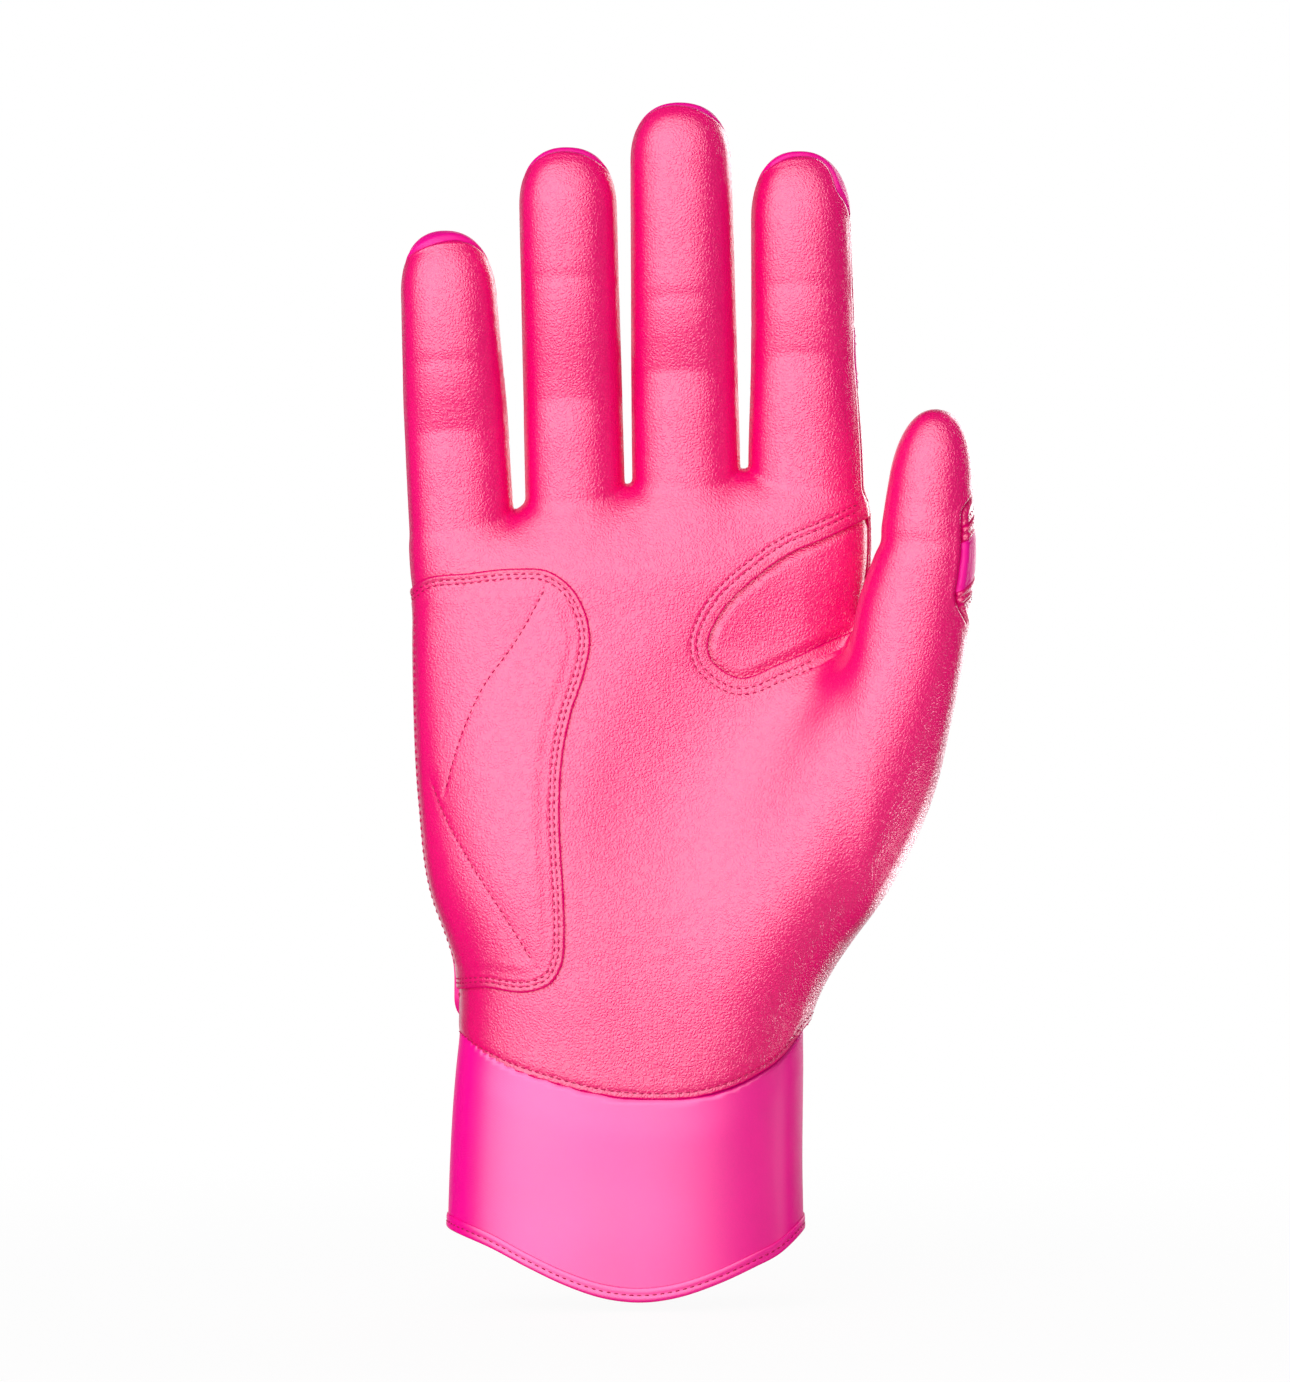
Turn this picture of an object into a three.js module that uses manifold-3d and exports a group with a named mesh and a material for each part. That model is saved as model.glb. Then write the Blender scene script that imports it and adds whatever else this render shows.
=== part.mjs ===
// Long-cuff batting glove for the right hand, in the shape that it has when it is worn.
// Millimetres. Fingers point up (+Z), the palm faces -Y, the thumb is on the +X side.
// The origin is the centre of the wrist opening, level with the lowest point of the hem.
import * as THREE from "three";
import { mergeVertices } from "three/addons/utils/BufferGeometryUtils.js";
import Module from "manifold-3d";

const wasm = await Module();
wasm.setup();

// Materials by thickness
const LEATHER = 1.3; // goatskin with its thin lining
const NEOPRENE = 2.2; // cuff sleeve
const PATCH_LEATHER = 0.9; // second layer over the heel of the palm
const FOAM = 0.6; // pad under that layer
const TAPE = 0.8; // hook tape and loop tape
const STRAP = 1.5; // closure strap
const GAP = 0.3; // clearance between neighbouring panels
const RECESS = 0.5; // how far an inset lies below the panel around it

// Roundness of the sections: 2 is an ellipse, more is squarer
const FINGER_ROUNDNESS = 2.35;
const PALM_ROUNDNESS = 2.5;
const FINGER_SIDES = 16;
const PALM_SIDES = 28;
const CURVE_STEPS = 6; // facets of a curved outline

// Fingers, from the little finger to the index finger. Each has the space to its neighbour on the left, the
// lean of its tip, its widths and depth, the height of its base crease, and the lengths to the next crease
// and from there to the tip
const LITTLE_FINGER_EDGE = -45.6; // left edge of the row of fingers
const FINGERS = {
  pinky: {
    space: 0, lean: -2.7, rootWidth: 22.6, middleWidth: 21.4, tipWidth: 19.8,
    depth: 17.6, baseZ: 168.0, lower: 19.0, upper: 36.0,
  },
  ring: {
    space: 2.0, lean: -1.9, rootWidth: 21.4, middleWidth: 21.4, tipWidth: 20.4,
    depth: 18.6, baseZ: 172.5, lower: 19.5, upper: 49.0,
  },
  middle: {
    space: 1.1, lean: -1.5, rootWidth: 23.0, middleWidth: 22.8, tipWidth: 20.8,
    depth: 19.2, baseZ: 174.5, lower: 20.5, upper: 55.0,
  },
  index: {
    space: 1.4, lean: -1.8, rootWidth: 24.6, middleWidth: 22.4, tipWidth: 20.6,
    depth: 18.6, baseZ: 174.5, lower: 23.0, upper: 42.5,
  },
};
let edge = LITTLE_FINGER_EDGE;
for (const finger of Object.values(FINGERS)) {
  finger.rootX = edge + finger.space + finger.rootWidth / 2;
  finger.tipX = finger.rootX + finger.lean;
  finger.middleZ = finger.baseZ + finger.lower;
  finger.tipZ = finger.middleZ + finger.upper;
  edge = finger.rootX + finger.rootWidth / 2;
}
const INDEX_EDGE = edge; // right edge of the row of fingers

const FINGER_FOOT_Z = 148.0; // where a finger's tube starts, inside the palm
const DOME_HEIGHT = 10.5; // rounded end of a finger
const DOME_RINGS = 4;
const TIP_CAP = 13.0; // length of the coloured cap on the back of a fingertip

// Knuckle creases: the leather folds in a wedge whose point is the joint axis
const CREASE_ANGLE = 31.0; // degrees on each side of the joint plane
const INSERT_BELOW = 7.0; // stretch insert over a knuckle, below and above the joint axis
const INSERT_ABOVE = 5.0;

// Palm: height of each section, how far its edges lie inside the row of fingers, front depth and back depth
const PALM = [
  { z: 38.0, leftIn: 9.6, rightIn: 12.3, front: 21.0, back: 21.5 },
  { z: 53.3, leftIn: 9.7, rightIn: 12.3, front: 21.0, back: 21.5 },
  { z: 61.7, leftIn: 9.2, rightIn: 11.3, front: 21.5, back: 21.6 },
  { z: 82.7, leftIn: 5.6, rightIn: 7.0, front: 20.5, back: 19.0 },
  { z: 103.7, leftIn: 2.7, rightIn: 3.5, front: 18.5, back: 17.0 },
  { z: 124.7, leftIn: 1.6, rightIn: 1.3, front: 16.0, back: 15.0 },
  { z: 145.7, leftIn: 1.0, rightIn: -0.3, front: 13.8, back: 13.5 },
  { z: 157.0, leftIn: 0.6, rightIn: -0.3, front: 11.8, back: 11.8 },
  { z: 167.0, leftIn: 3.6, rightIn: 3.0, front: 8.6, back: 8.6 },
].map((s) => ({ ...s, left: LITTLE_FINGER_EDGE + s.leftIn, right: INDEX_EDGE - s.rightIn }));
const KNUCKLE_SLOPE = 0.17; // rise of the finger crotches from the pinky to the index finger
const KNUCKLE_SLOPE_FROM = 145.0; // height where the sections start to tilt

// Thumb: points of its middle line, outwards from the edge of the index finger, with its half width and depth
const THUMB = [
  { out: -26.5, y: -5.0, z: 52.0, wide: 8.0, deep: 12.0 },
  { out: -19.0, y: -7.0, z: 72.0, wide: 15.5, deep: 16.0 },
  { out: -9.0, y: -8.5, z: 93.0, wide: 18.0, deep: 16.0 },
  { out: 1.0, y: -11.0, z: 114.0, wide: 16.0, deep: 14.2 },
  { out: 7.7, y: -13.0, z: 129.0, wide: 11.6, deep: 12.0 },
  { out: 11.2, y: -14.0, z: 143.6, wide: 10.2, deep: 10.4 },
  { out: 12.3, y: -14.5, z: 155.0, wide: 9.8, deep: 9.6 },
  { out: 12.7, y: -14.5, z: 166.5, wide: 8.9, deep: 8.8 },
  { out: 13.4, y: -14.5, z: 175.2, wide: 7.9, deep: 8.0 },
  { out: 14.5, y: -14.5, z: 181.4, wide: 5.7, deep: 6.0 },
  { out: 15.2, y: -14.5, z: 184.6, wide: 3.0, deep: 3.2 },
].map((s) => ({ ...s, at: new THREE.Vector3(INDEX_EDGE + s.out, s.y, s.z) }));
const THUMB_KNUCKLE = THUMB[6]; // the joint lies at this point
const THUMB_SIDES = 16;
const THUMB_TIP_RISE = 1.0; // last rounding above the last section
const THUMB_LEAN = 5.0; // degrees that the thumb leans outwards at its joint
const THUMB_TWIST = -52.0; // degrees that its joint axis is turned about the thumb, towards the palm
const THUMB_CREASE_ANGLE = 21.0;
const THUMB_INSERT = 22.0; // length of the ribbed insert over the thumb knuckle
const THUMB_SIDE = 11.4; // half width of the space round the thumb joint

// Side seam between the leather and the back, seen along the fingers
const SEAM_TURN = 12.5; // from here inside the index finger's edge the seam moves to the palm side

// Heel patch on the little-finger side of the palm
const HEEL = { top: 150.5, low: 64.8, inner: -10.2, waist: -15.8, corner: 9.0, pocketInset: 5.0 };
// Inset below the index finger, towards the thumb
const WEB = { tipX: 15.6, tipZ: 131.5, topX: 52.0, topZ: 162.5, lowX: 44.5, lowZ: 139.0, right: 49.5 };

// Lower edge of the leather over the cuff, and lower edge of the cuff
const LEATHER_EDGE = { side: 54.5, low: 42.2, lowX: 3.0, half: 37.0 };
const HEM_EDGE = { side: 14.5, low: 0.0, lowX: 2.0, half: 37.0 };
const HEM_BACK_LOW = 7.0; // the hem dips less on the back
const HEM_HEIGHT = 4.2;
const HEM_PROUD = 0.6; // the folded hem stands proud of the sleeve
const CUFF_TOP = 60.0;
const CUFF_FLARE = 2.2; // the sleeve widens towards the hem

// Vent in the back at the wrist, closed by the strap
const VENT = { x: 8.0, halfLow: 8.0, halfTop: 4.0, top: 92.0 };
const BACK_EDGE_Z = 54.5;
const STRAP_BAND = { low: 57.0, high: 77.0 };
const STRAP_ROOT_X = 23.5; // the strap is sewn down from here towards the thumb
const STRAP_ANCHOR = 10.0; // length of the sewn end
const STRAP_END_Y = 8.0; // the free end wraps round to here
const STRAP_END_CORNER = 5.0;
const LOOP_FROM_X = -3.0;
const TAPE_MARGIN = 1.6; // tape is narrower than the strap

const COLOURS = {
  leather: { color: "#fa6d9b", roughness: 0.55, metalness: 0 },
  backing: { color: "#f5648f", roughness: 0.6, metalness: 0 },
  stretch: { color: "#f21c96", roughness: 0.6, metalness: 0 },
  neoprene: { color: "#ff55ab", roughness: 0.5, metalness: 0 },
  foam: { color: "#f3eee4", roughness: 0.9, metalness: 0 },
  tape: { color: "#e8589f", roughness: 0.95, metalness: 0 },
};

const FAR = 120; // larger than any section of the glove
const SKY = 300; // above the glove

// A closed geometry as a solid
function solid(geometry) {
  const bare = geometry.index ? geometry.toNonIndexed() : geometry.clone();
  bare.deleteAttribute("normal");
  bare.deleteAttribute("uv");
  const merged = mergeVertices(bare);
  const triVerts = new Uint32Array(merged.index.array);
  const vertProperties = merged.attributes.position.array;
  return new wasm.Manifold(new wasm.Mesh({ numProp: 3, vertProperties, triVerts }));
}

// A solid as a geometry
function geometryOf(body) {
  const mesh = body.getMesh();
  const positions = new Float32Array(mesh.numVert * 3);
  for (let i = 0; i < mesh.numVert; i++) {
    positions.set(mesh.vertProperties.subarray(i * mesh.numProp, i * mesh.numProp + 3), i * 3);
  }
  const geometry = new THREE.BufferGeometry();
  geometry.setAttribute("position", new THREE.BufferAttribute(positions, 3));
  geometry.setIndex(new THREE.BufferAttribute(mesh.triVerts, 1));
  geometry.computeVertexNormals();
  return geometry;
}

function joined(bodies) {
  return bodies.reduce((all, body) => all.add(body));
}

// Skin stretched over rings of points that all run the same way round
function loft(rings) {
  const count = rings[0].length;
  const points = rings.flat();
  const faces = [];
  for (let r = 0; r + 1 < rings.length; r++) {
    for (let k = 0; k < count; k++) {
      const next = (k + 1) % count;
      const [a, b] = [r * count + k, r * count + next];
      faces.push(a, b, a + count, b, b + count, a + count);
    }
  }
  const last = (rings.length - 1) * count;
  for (let k = 1; k + 1 < count; k++) {
    faces.push(0, k + 1, k);
    faces.push(last, last + k, last + k + 1);
  }
  const geometry = new THREE.BufferGeometry().setFromPoints(points);
  geometry.setIndex(faces);
  return solid(geometry);
}

// A rounded section in its own plane, front and back depth set apart
function section(sides, roundness, halfWidth, front, back) {
  const power = 2 / roundness;
  return Array.from({ length: sides }, (_, k) => {
    const angle = (2 * Math.PI * (k + 0.5)) / sides;
    const [c, s] = [Math.cos(angle), Math.sin(angle)];
    const depth = s < 0 ? front : back;
    return new THREE.Vector2(
      Math.sign(c) * halfWidth * Math.abs(c) ** power,
      Math.sign(s) * depth * Math.abs(s) ** power,
    );
  });
}

function levelRing(sides, roundness, x, z, halfWidth, front, back) {
  const flat = section(sides, roundness, halfWidth, front, back);
  return flat.map((p) => new THREE.Vector3(x + p.x, p.y, z));
}

// Where a finger's middle line is at a height
function middleLine({ rootX, tipX, tipZ }, z) {
  return THREE.MathUtils.mapLinear(z, FINGER_FOOT_Z, tipZ - DOME_HEIGHT, rootX, tipX);
}

// Finger tube, larger than the worn shape by offset, closed by a dome
function fingerForm(finger, offset) {
  const { rootWidth, middleWidth, tipWidth, depth, tipZ, baseZ, middleZ } = finger;
  const shoulder = tipZ - DOME_HEIGHT;
  const ring = (z, width, share = 1) => {
    const halfDepth = (depth / 2 + offset) * share;
    const halfWidth = (width / 2 + offset) * share;
    const x = middleLine(finger, z);
    return levelRing(FINGER_SIDES, FINGER_ROUNDNESS, x, z, halfWidth, halfDepth, halfDepth);
  };
  const rings = [
    ring(FINGER_FOOT_Z + Math.min(offset, 0), rootWidth),
    ring(baseZ, rootWidth),
    ring(middleZ, middleWidth),
    ring((middleZ + shoulder) / 2, (middleWidth + tipWidth) / 2),
    ring(shoulder, tipWidth),
  ];
  for (let k = 1; k <= DOME_RINGS; k++) {
    const angle = (0.94 * (Math.PI / 2) * k) / DOME_RINGS;
    const z = shoulder + (DOME_HEIGHT + offset) * Math.sin(angle);
    rings.push(ring(z, tipWidth, Math.cos(angle)));
  }
  return loft(rings);
}

// Palm without its fingers and thumb; its top follows the line of the finger crotches
function palmForm(offset, drop = 0) {
  const rings = PALM.map((s, i) => {
    const z = i === 0 ? s.z - drop : i === PALM.length - 1 ? s.z + offset : s.z;
    const halfWidth = (s.right - s.left) / 2 + offset;
    const x = (s.right + s.left) / 2;
    const tilt = KNUCKLE_SLOPE * THREE.MathUtils.smoothstep(s.z, KNUCKLE_SLOPE_FROM, PALM.at(-1).z);
    const ring = levelRing(PALM_SIDES, PALM_ROUNDNESS, x, z, halfWidth, s.front + offset, s.back + offset);
    ring.forEach((p) => (p.z += tilt * p.x));
    return ring;
  });
  return loft(rings);
}

// Thumb tube from the heel of the hand to the tip, with sections square to its middle line
function thumbForm(offset) {
  const line = new THREE.CatmullRomCurve3(THUMB.map((s) => s.at));
  const rings = THUMB.map((s, i) => {
    const along = line.getTangent(i / (THUMB.length - 1));
    const across = new THREE.Vector3(0, 1, 0).cross(along).normalize();
    const back = along.clone().cross(across);
    const flat = section(THUMB_SIDES, FINGER_ROUNDNESS, s.wide + offset, s.deep + offset, s.deep + offset);
    const centre = s.at.clone();
    if (i === THUMB.length - 1) centre.z += offset;
    return flat.map((p) => centre.clone().addScaledVector(across, p.x).addScaledVector(back, p.y));
  });
  const peak = rings.at(-1).map((p) => {
    return p.clone().lerp(THUMB.at(-1).at, 0.6).setZ(p.z + THUMB_TIP_RISE);
  });
  return loft([...rings, peak]);
}

// Whole hand, larger than the worn shape by offset
function handForm(offset, drop = 0) {
  const fingers = Object.values(FINGERS).map((finger) => fingerForm(finger, offset));
  return joined([palmForm(offset, drop), thumbForm(offset), ...fingers]);
}

// Sleeve of the cuff, larger than its outer face by offset
function cuffForm(offset, drop = 0) {
  const wrist = PALM[1];
  const under = LEATHER + GAP;
  const rise = (z, flare) => {
    const halfWidth = (wrist.right - wrist.left) / 2 - under + flare + offset;
    const x = (wrist.right + wrist.left) / 2;
    const [front, back] = [wrist.front - under + flare + offset, wrist.back - under + flare + offset];
    return levelRing(PALM_SIDES, PALM_ROUNDNESS, x, z, halfWidth, front, back);
  };
  return loft([
    rise(-drop - HEM_PROUD, CUFF_FLARE),
    rise(HEM_EDGE.side, CUFF_FLARE),
    rise(LEATHER_EDGE.low - GAP, 0),
    rise(CUFF_TOP + drop, 0),
  ]);
}

// Prisms with a flat outline: along Z from (x, y), along Y from (x, z), along X from (y, z)
function extruded(shape, depth) {
  return new THREE.ExtrudeGeometry(shape, { depth, bevelEnabled: false, curveSegments: CURVE_STEPS });
}

function prismZ(shape, low, high) {
  const geometry = extruded(shape, high - low);
  return solid(geometry.translate(0, 0, low));
}

function prismY(shape, low, high) {
  const geometry = extruded(shape, high - low);
  return solid(geometry.rotateX(Math.PI / 2).translate(0, high, 0));
}

function prismX(shape, low, high) {
  const geometry = extruded(shape, high - low);
  const turn = new THREE.Matrix4().makeBasis(
    new THREE.Vector3(0, 1, 0),
    new THREE.Vector3(0, 0, 1),
    new THREE.Vector3(1, 0, 0),
  );
  return solid(geometry.translate(0, 0, low).applyMatrix4(turn));
}

function box(x0, x1, y0, y1, z0, z1) {
  const geometry = new THREE.BoxGeometry(x1 - x0, y1 - y0, z1 - z0);
  return solid(geometry.translate((x0 + x1) / 2, (y0 + y1) / 2, (z0 + z1) / 2));
}

function outline(points) {
  return new THREE.Shape(points.map(([x, y]) => new THREE.Vector2(x, y)));
}

// Everything on the palm side of the side seam, moved by shift towards the back
function palmSide(shift) {
  const thumb = THUMB_KNUCKLE.at;
  const twist = THREE.MathUtils.degToRad(THUMB_TWIST);
  const outside = [thumb.x + FAR * Math.cos(twist), thumb.y + FAR * Math.sin(twist)];
  const seam = [[-FAR, 0], [INDEX_EDGE - SEAM_TURN, 0], [thumb.x, thumb.y], outside];
  const moved = seam.map(([x, y]) => [x, y + shift]);
  return prismZ(outline([[-FAR, -FAR], ...moved, [outside[0], -FAR]].reverse()), -FAR, SKY);
}

// Wedge of leather that folds at a knuckle, its point on the joint axis at height z
function creaseWedge(x0, x1, z, angle, inset) {
  const rise = FAR * Math.tan(THREE.MathUtils.degToRad(angle));
  const back = inset / Math.sin(THREE.MathUtils.degToRad(angle));
  const shape = outline([[-back, z], [-back - FAR, z + rise], [-back - FAR, z - rise]]);
  return prismX(shape, x0 + inset, x1 - inset);
}

// Curved lower edge: the outline of everything below it, seen from the palm
function belowEdge({ side, low, lowX, half }) {
  const shape = new THREE.Shape();
  shape.moveTo(-FAR, -FAR).lineTo(FAR, -FAR).lineTo(FAR, side).lineTo(lowX + half, side);
  const knee = low + 0.3 * (side - low);
  shape.bezierCurveTo(lowX + 0.6 * half, knee, lowX + 0.35 * half, low, lowX, low);
  shape.bezierCurveTo(lowX - 0.35 * half, low, lowX - 0.6 * half, knee, lowX - half, side);
  shape.lineTo(-FAR, side);
  return shape;
}

// Heel patch seen from the palm: rounded inner corners, and a waist where the palm folds
function heelOutline(inset) {
  const { top, low, inner, waist, corner } = HEEL;
  const [right, up, down] = [inner - inset, top - inset, low + inset];
  const middle = (up + down) / 2;
  const radius = corner - inset / 2;
  const shape = new THREE.Shape();
  shape.moveTo(-FAR, down).lineTo(right - 5 - radius, down);
  shape.quadraticCurveTo(right - 5, down, right - 5, down + radius);
  shape.bezierCurveTo(waist - inset, middle - 12, waist - inset, middle, waist + 2.5 - inset, middle + 8);
  shape.bezierCurveTo(right - 1, up - 24, right, up - 18, right, up - radius);
  shape.quadraticCurveTo(right, up, right - radius, up);
  shape.lineTo(-FAR, up - 3);
  return shape;
}

// Leaf-shaped window below the index finger, seen from the palm
function webOutline(inset) {
  const { tipX, tipZ, topX, topZ, lowX, lowZ } = WEB;
  const shape = new THREE.Shape();
  shape.moveTo(topX, topZ - inset);
  shape.bezierCurveTo(topX - 14, topZ - 5 - inset, tipX + 8, tipZ + 18 - inset, tipX + inset, tipZ + 3);
  const low = tipZ - 4 + inset;
  shape.bezierCurveTo(tipX - 1 + inset, low, tipX + 6, low - 1, tipX + 9, low);
  shape.quadraticCurveTo(lowX - 9, lowZ - 5 + inset, lowX, lowZ + inset);
  shape.lineTo(topX, lowZ + 6 + inset);
  return shape;
}

// Vent seen from the back of the hand
function ventOutline(inset) {
  const { x, halfLow, halfTop, top } = VENT;
  const [low, high] = [halfLow - inset, halfTop - inset];
  const shape = new THREE.Shape();
  shape.moveTo(x - low, BACK_EDGE_Z - FAR).lineTo(x + low, BACK_EDGE_Z - FAR).lineTo(x + low, BACK_EDGE_Z);
  shape.lineTo(x + high, top - high).quadraticCurveTo(x + high, top, x, top);
  shape.quadraticCurveTo(x - high, top, x - high, top - high).lineTo(x - low, BACK_EDGE_Z);
  return shape;
}

// The whole of a finger above a height
const names = Object.keys(FINGERS);
function above(name, z) {
  return fingerForm(FINGERS[name], GAP).intersect(box(-FAR, FAR, -FAR, FAR, z, SKY));
}

// The thumb's own frame: Z along the thumb, Y towards its back, X along its joint axis
const thumbTurn = new THREE.Matrix4().compose(
  THUMB_KNUCKLE.at,
  new THREE.Quaternion().setFromEuler(
    new THREE.Euler(0, THREE.MathUtils.degToRad(THUMB_LEAN), THREE.MathUtils.degToRad(THUMB_TWIST), "YZX"),
  ),
  new THREE.Vector3(1, 1, 1),
);
function atThumb(body) {
  return body.transform(thumbTurn.elements);
}

// Common shells
const outer = handForm(0);
const inner = handForm(-LEATHER, NEOPRENE + GAP);
const shell = outer.subtract(inner);
const recessed = handForm(-RECESS).subtract(handForm(-RECESS - LEATHER, NEOPRENE + GAP));
const leatherSide = palmSide(-GAP / 2);
const backSide = box(-FAR, FAR, -FAR, FAR, -FAR, SKY).subtract(palmSide(GAP / 2));

// Cutters of each finger: the wedges of its two creases, and the space of its knuckle insert
const cutters = Object.fromEntries(names.map((name) => [name, fingerCutters(FINGERS[name])]));
function fingerCutters(finger) {
  const { rootWidth, baseZ, middleZ, tipZ } = finger;
  const [left, right] = [-1, 1].map((side) => middleLine(finger, baseZ) + side * (rootWidth / 2 + GAP));
  const tube = fingerForm(finger, GAP);
  const insertBox = (grow) =>
    box(-FAR, FAR, GAP / 2 - grow, FAR, middleZ - INSERT_BELOW - grow, middleZ + INSERT_ABOVE + grow);
  return {
    baseWedge: (inset) => creaseWedge(left, right, baseZ, CREASE_ANGLE, inset),
    middleWedge: (inset) => creaseWedge(-FAR, FAR, middleZ, CREASE_ANGLE, inset).intersect(tube),
    insert: (grow) => insertBox(grow).intersect(tube),
    capZ: tipZ - TIP_CAP,
  };
}

// The thumb's cutters, in the thumb's own frame
const thumbReach = 2 * THUMB_KNUCKLE.deep;
const thumbWedge = (inset) =>
  atThumb(creaseWedge(-THUMB_SIDE, THUMB_SIDE, 0, THUMB_CREASE_ANGLE, inset).intersect(thumbSpace()));
const thumbInsertBox = (grow) => {
  const half = THUMB_INSERT / 2 + grow;
  return atThumb(box(-THUMB_SIDE, THUMB_SIDE, GAP / 2 - grow, thumbReach, -half, half));
};
function thumbSpace() {
  return box(-THUMB_SIDE, THUMB_SIDE, -thumbReach, thumbReach, -thumbReach, thumbReach);
}
const thumbAbove = (z) => atThumb(box(-THUMB_SIDE, THUMB_SIDE, -thumbReach, FAR, z, FAR));

const pieces = new Map();
function piece(name, body, finish) {
  pieces.set(name, { body, finish });
}

// Palm leather in one piece up to the finger creases, with a window for the web inset
function palmLeather() {
  let body = shell.intersect(leatherSide).subtract(prismY(belowEdge(LEATHER_EDGE), -FAR, FAR));
  for (const name of names) {
    body = body.subtract(above(name, FINGERS[name].baseZ - GAP / 2)).subtract(cutters[name].baseWedge(0));
  }
  body = body.subtract(thumbAbove(-GAP / 2)).subtract(thumbWedge(0)).subtract(thumbInsertBox(GAP));
  return body.subtract(prismY(webOutline(0), -FAR, FAR));
}

// Back of the hand, with the vent at the wrist
function backPanel() {
  let body = shell.intersect(backSide).subtract(box(-FAR, FAR, -FAR, FAR, -FAR, BACK_EDGE_Z));
  for (const name of names) {
    body = body.subtract(above(name, FINGERS[name].baseZ - GAP / 2)).subtract(cutters[name].baseWedge(0));
  }
  body = body.subtract(thumbAbove(-GAP / 2)).subtract(thumbWedge(0)).subtract(thumbInsertBox(GAP));
  const besideWeb = box(-FAR, WEB.right + GAP, -FAR, FAR, 0, SKY);
  body = body.subtract(prismY(webOutline(0), -FAR, 0).intersect(besideWeb));
  return body.subtract(prismY(ventOutline(0), 0, FAR));
}

function buildPalm() {
  piece("palm_leather", palmLeather(), "leather");
  piece("back_panel", backPanel(), "backing");
  const window = prismY(webOutline(GAP), -FAR, -GAP).intersect(box(-FAR, WEB.right, -FAR, FAR, 0, SKY));
  piece("web_inset", recessed.intersect(window), "leather");
  const ventFill = prismY(ventOutline(GAP), GAP, FAR).intersect(box(-FAR, FAR, 0, FAR, CUFF_TOP + GAP, SKY));
  piece("vent_gusset", recessed.intersect(ventFill), "stretch");
  const patchTop = GAP + FOAM + GAP + PATCH_LEATHER;
  const onPalm = palmSide(-GAP / 2);
  const pocket = handForm(2 * GAP + FOAM).intersect(prismY(heelOutline(HEEL.pocketInset - GAP), -FAR, FAR));
  const patch = handForm(patchTop).subtract(handForm(GAP)).intersect(prismY(heelOutline(0), -FAR, FAR));
  piece("heel_patch", patch.intersect(onPalm).subtract(pocket), "leather");
  const pad = handForm(GAP + FOAM).subtract(handForm(GAP));
  const padOutline = prismY(heelOutline(HEEL.pocketInset), -FAR, -GAP - HEEL.pocketInset);
  piece("heel_pad", pad.intersect(padOutline), "foam");
}

// Lower and upper part of a finger, the two creases between them, the knuckle insert and the tip cap
function buildFinger(name) {
  const { baseZ, middleZ } = FINGERS[name];
  const { baseWedge, middleWedge, insert, capZ } = cutters[name];
  const stall = shell.intersect(above(name, baseZ + GAP / 2));
  const folds = baseWedge(0).add(middleWedge(0));
  const lower = stall.subtract(above(name, middleZ - GAP / 2)).subtract(folds);
  const upper = shell.intersect(above(name, middleZ + GAP / 2)).subtract(middleWedge(0));
  const cap = above(name, capZ).intersect(backSide);
  piece(`${name}_base_crease`, shell.intersect(baseWedge(GAP)), "leather");
  piece(`${name}_lower_front`, lower.intersect(leatherSide).subtract(insert(GAP)), "leather");
  piece(`${name}_lower_back`, lower.intersect(backSide).subtract(insert(GAP)), "backing");
  piece(`${name}_middle_crease`, shell.intersect(middleWedge(GAP)), "leather");
  piece(`${name}_knuckle_insert`, shell.intersect(insert(0)), "stretch");
  piece(`${name}_upper_front`, upper.intersect(leatherSide).subtract(insert(GAP)), "leather");
  const upperBack = upper.intersect(backSide).subtract(above(name, capZ - GAP));
  piece(`${name}_upper_back`, upperBack.subtract(insert(GAP)), "backing");
  piece(`${name}_tip_cap`, upper.intersect(cap), "stretch");
}

function buildThumb() {
  const tip = shell.intersect(thumbAbove(GAP / 2)).subtract(thumbWedge(0)).subtract(thumbInsertBox(GAP));
  piece("thumb_crease", shell.intersect(thumbWedge(GAP)), "leather");
  piece("thumb_insert", shell.intersect(thumbInsertBox(0)), "stretch");
  piece("thumb_tip_front", tip.intersect(leatherSide), "leather");
  piece("thumb_tip_back", tip.intersect(backSide), "backing");
}

// Sleeve of the cuff in two halves, sewn at the sides, with a folded hem along the lower edge
function buildCuff() {
  const sleeve = cuffForm(0).subtract(cuffForm(-NEOPRENE, FAR));
  const hemRing = cuffForm(HEM_PROUD).subtract(cuffForm(-NEOPRENE, FAR));
  const halves = [
    ["front", box(-FAR, FAR, -FAR, -GAP / 2, -FAR, CUFF_TOP), HEM_EDGE],
    ["back", box(-FAR, FAR, GAP / 2, FAR, -FAR, CUFF_TOP), { ...HEM_EDGE, low: HEM_BACK_LOW }],
  ];
  for (const [name, half, edge] of halves) {
    const raised = (rise) => ({ ...edge, side: edge.side + rise, low: edge.low + rise });
    const below = prismY(belowEdge(edge), -FAR, FAR);
    const belowHem = prismY(belowEdge(raised(HEM_HEIGHT)), -FAR, FAR);
    const belowSleeve = prismY(belowEdge(raised(HEM_HEIGHT + GAP)), -FAR, FAR);
    piece(`cuff_${name}`, sleeve.intersect(half).subtract(belowSleeve), "neoprene");
    piece(`hem_${name}`, hemRing.intersect(half).intersect(belowHem).subtract(below), "neoprene");
  }
}

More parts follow.
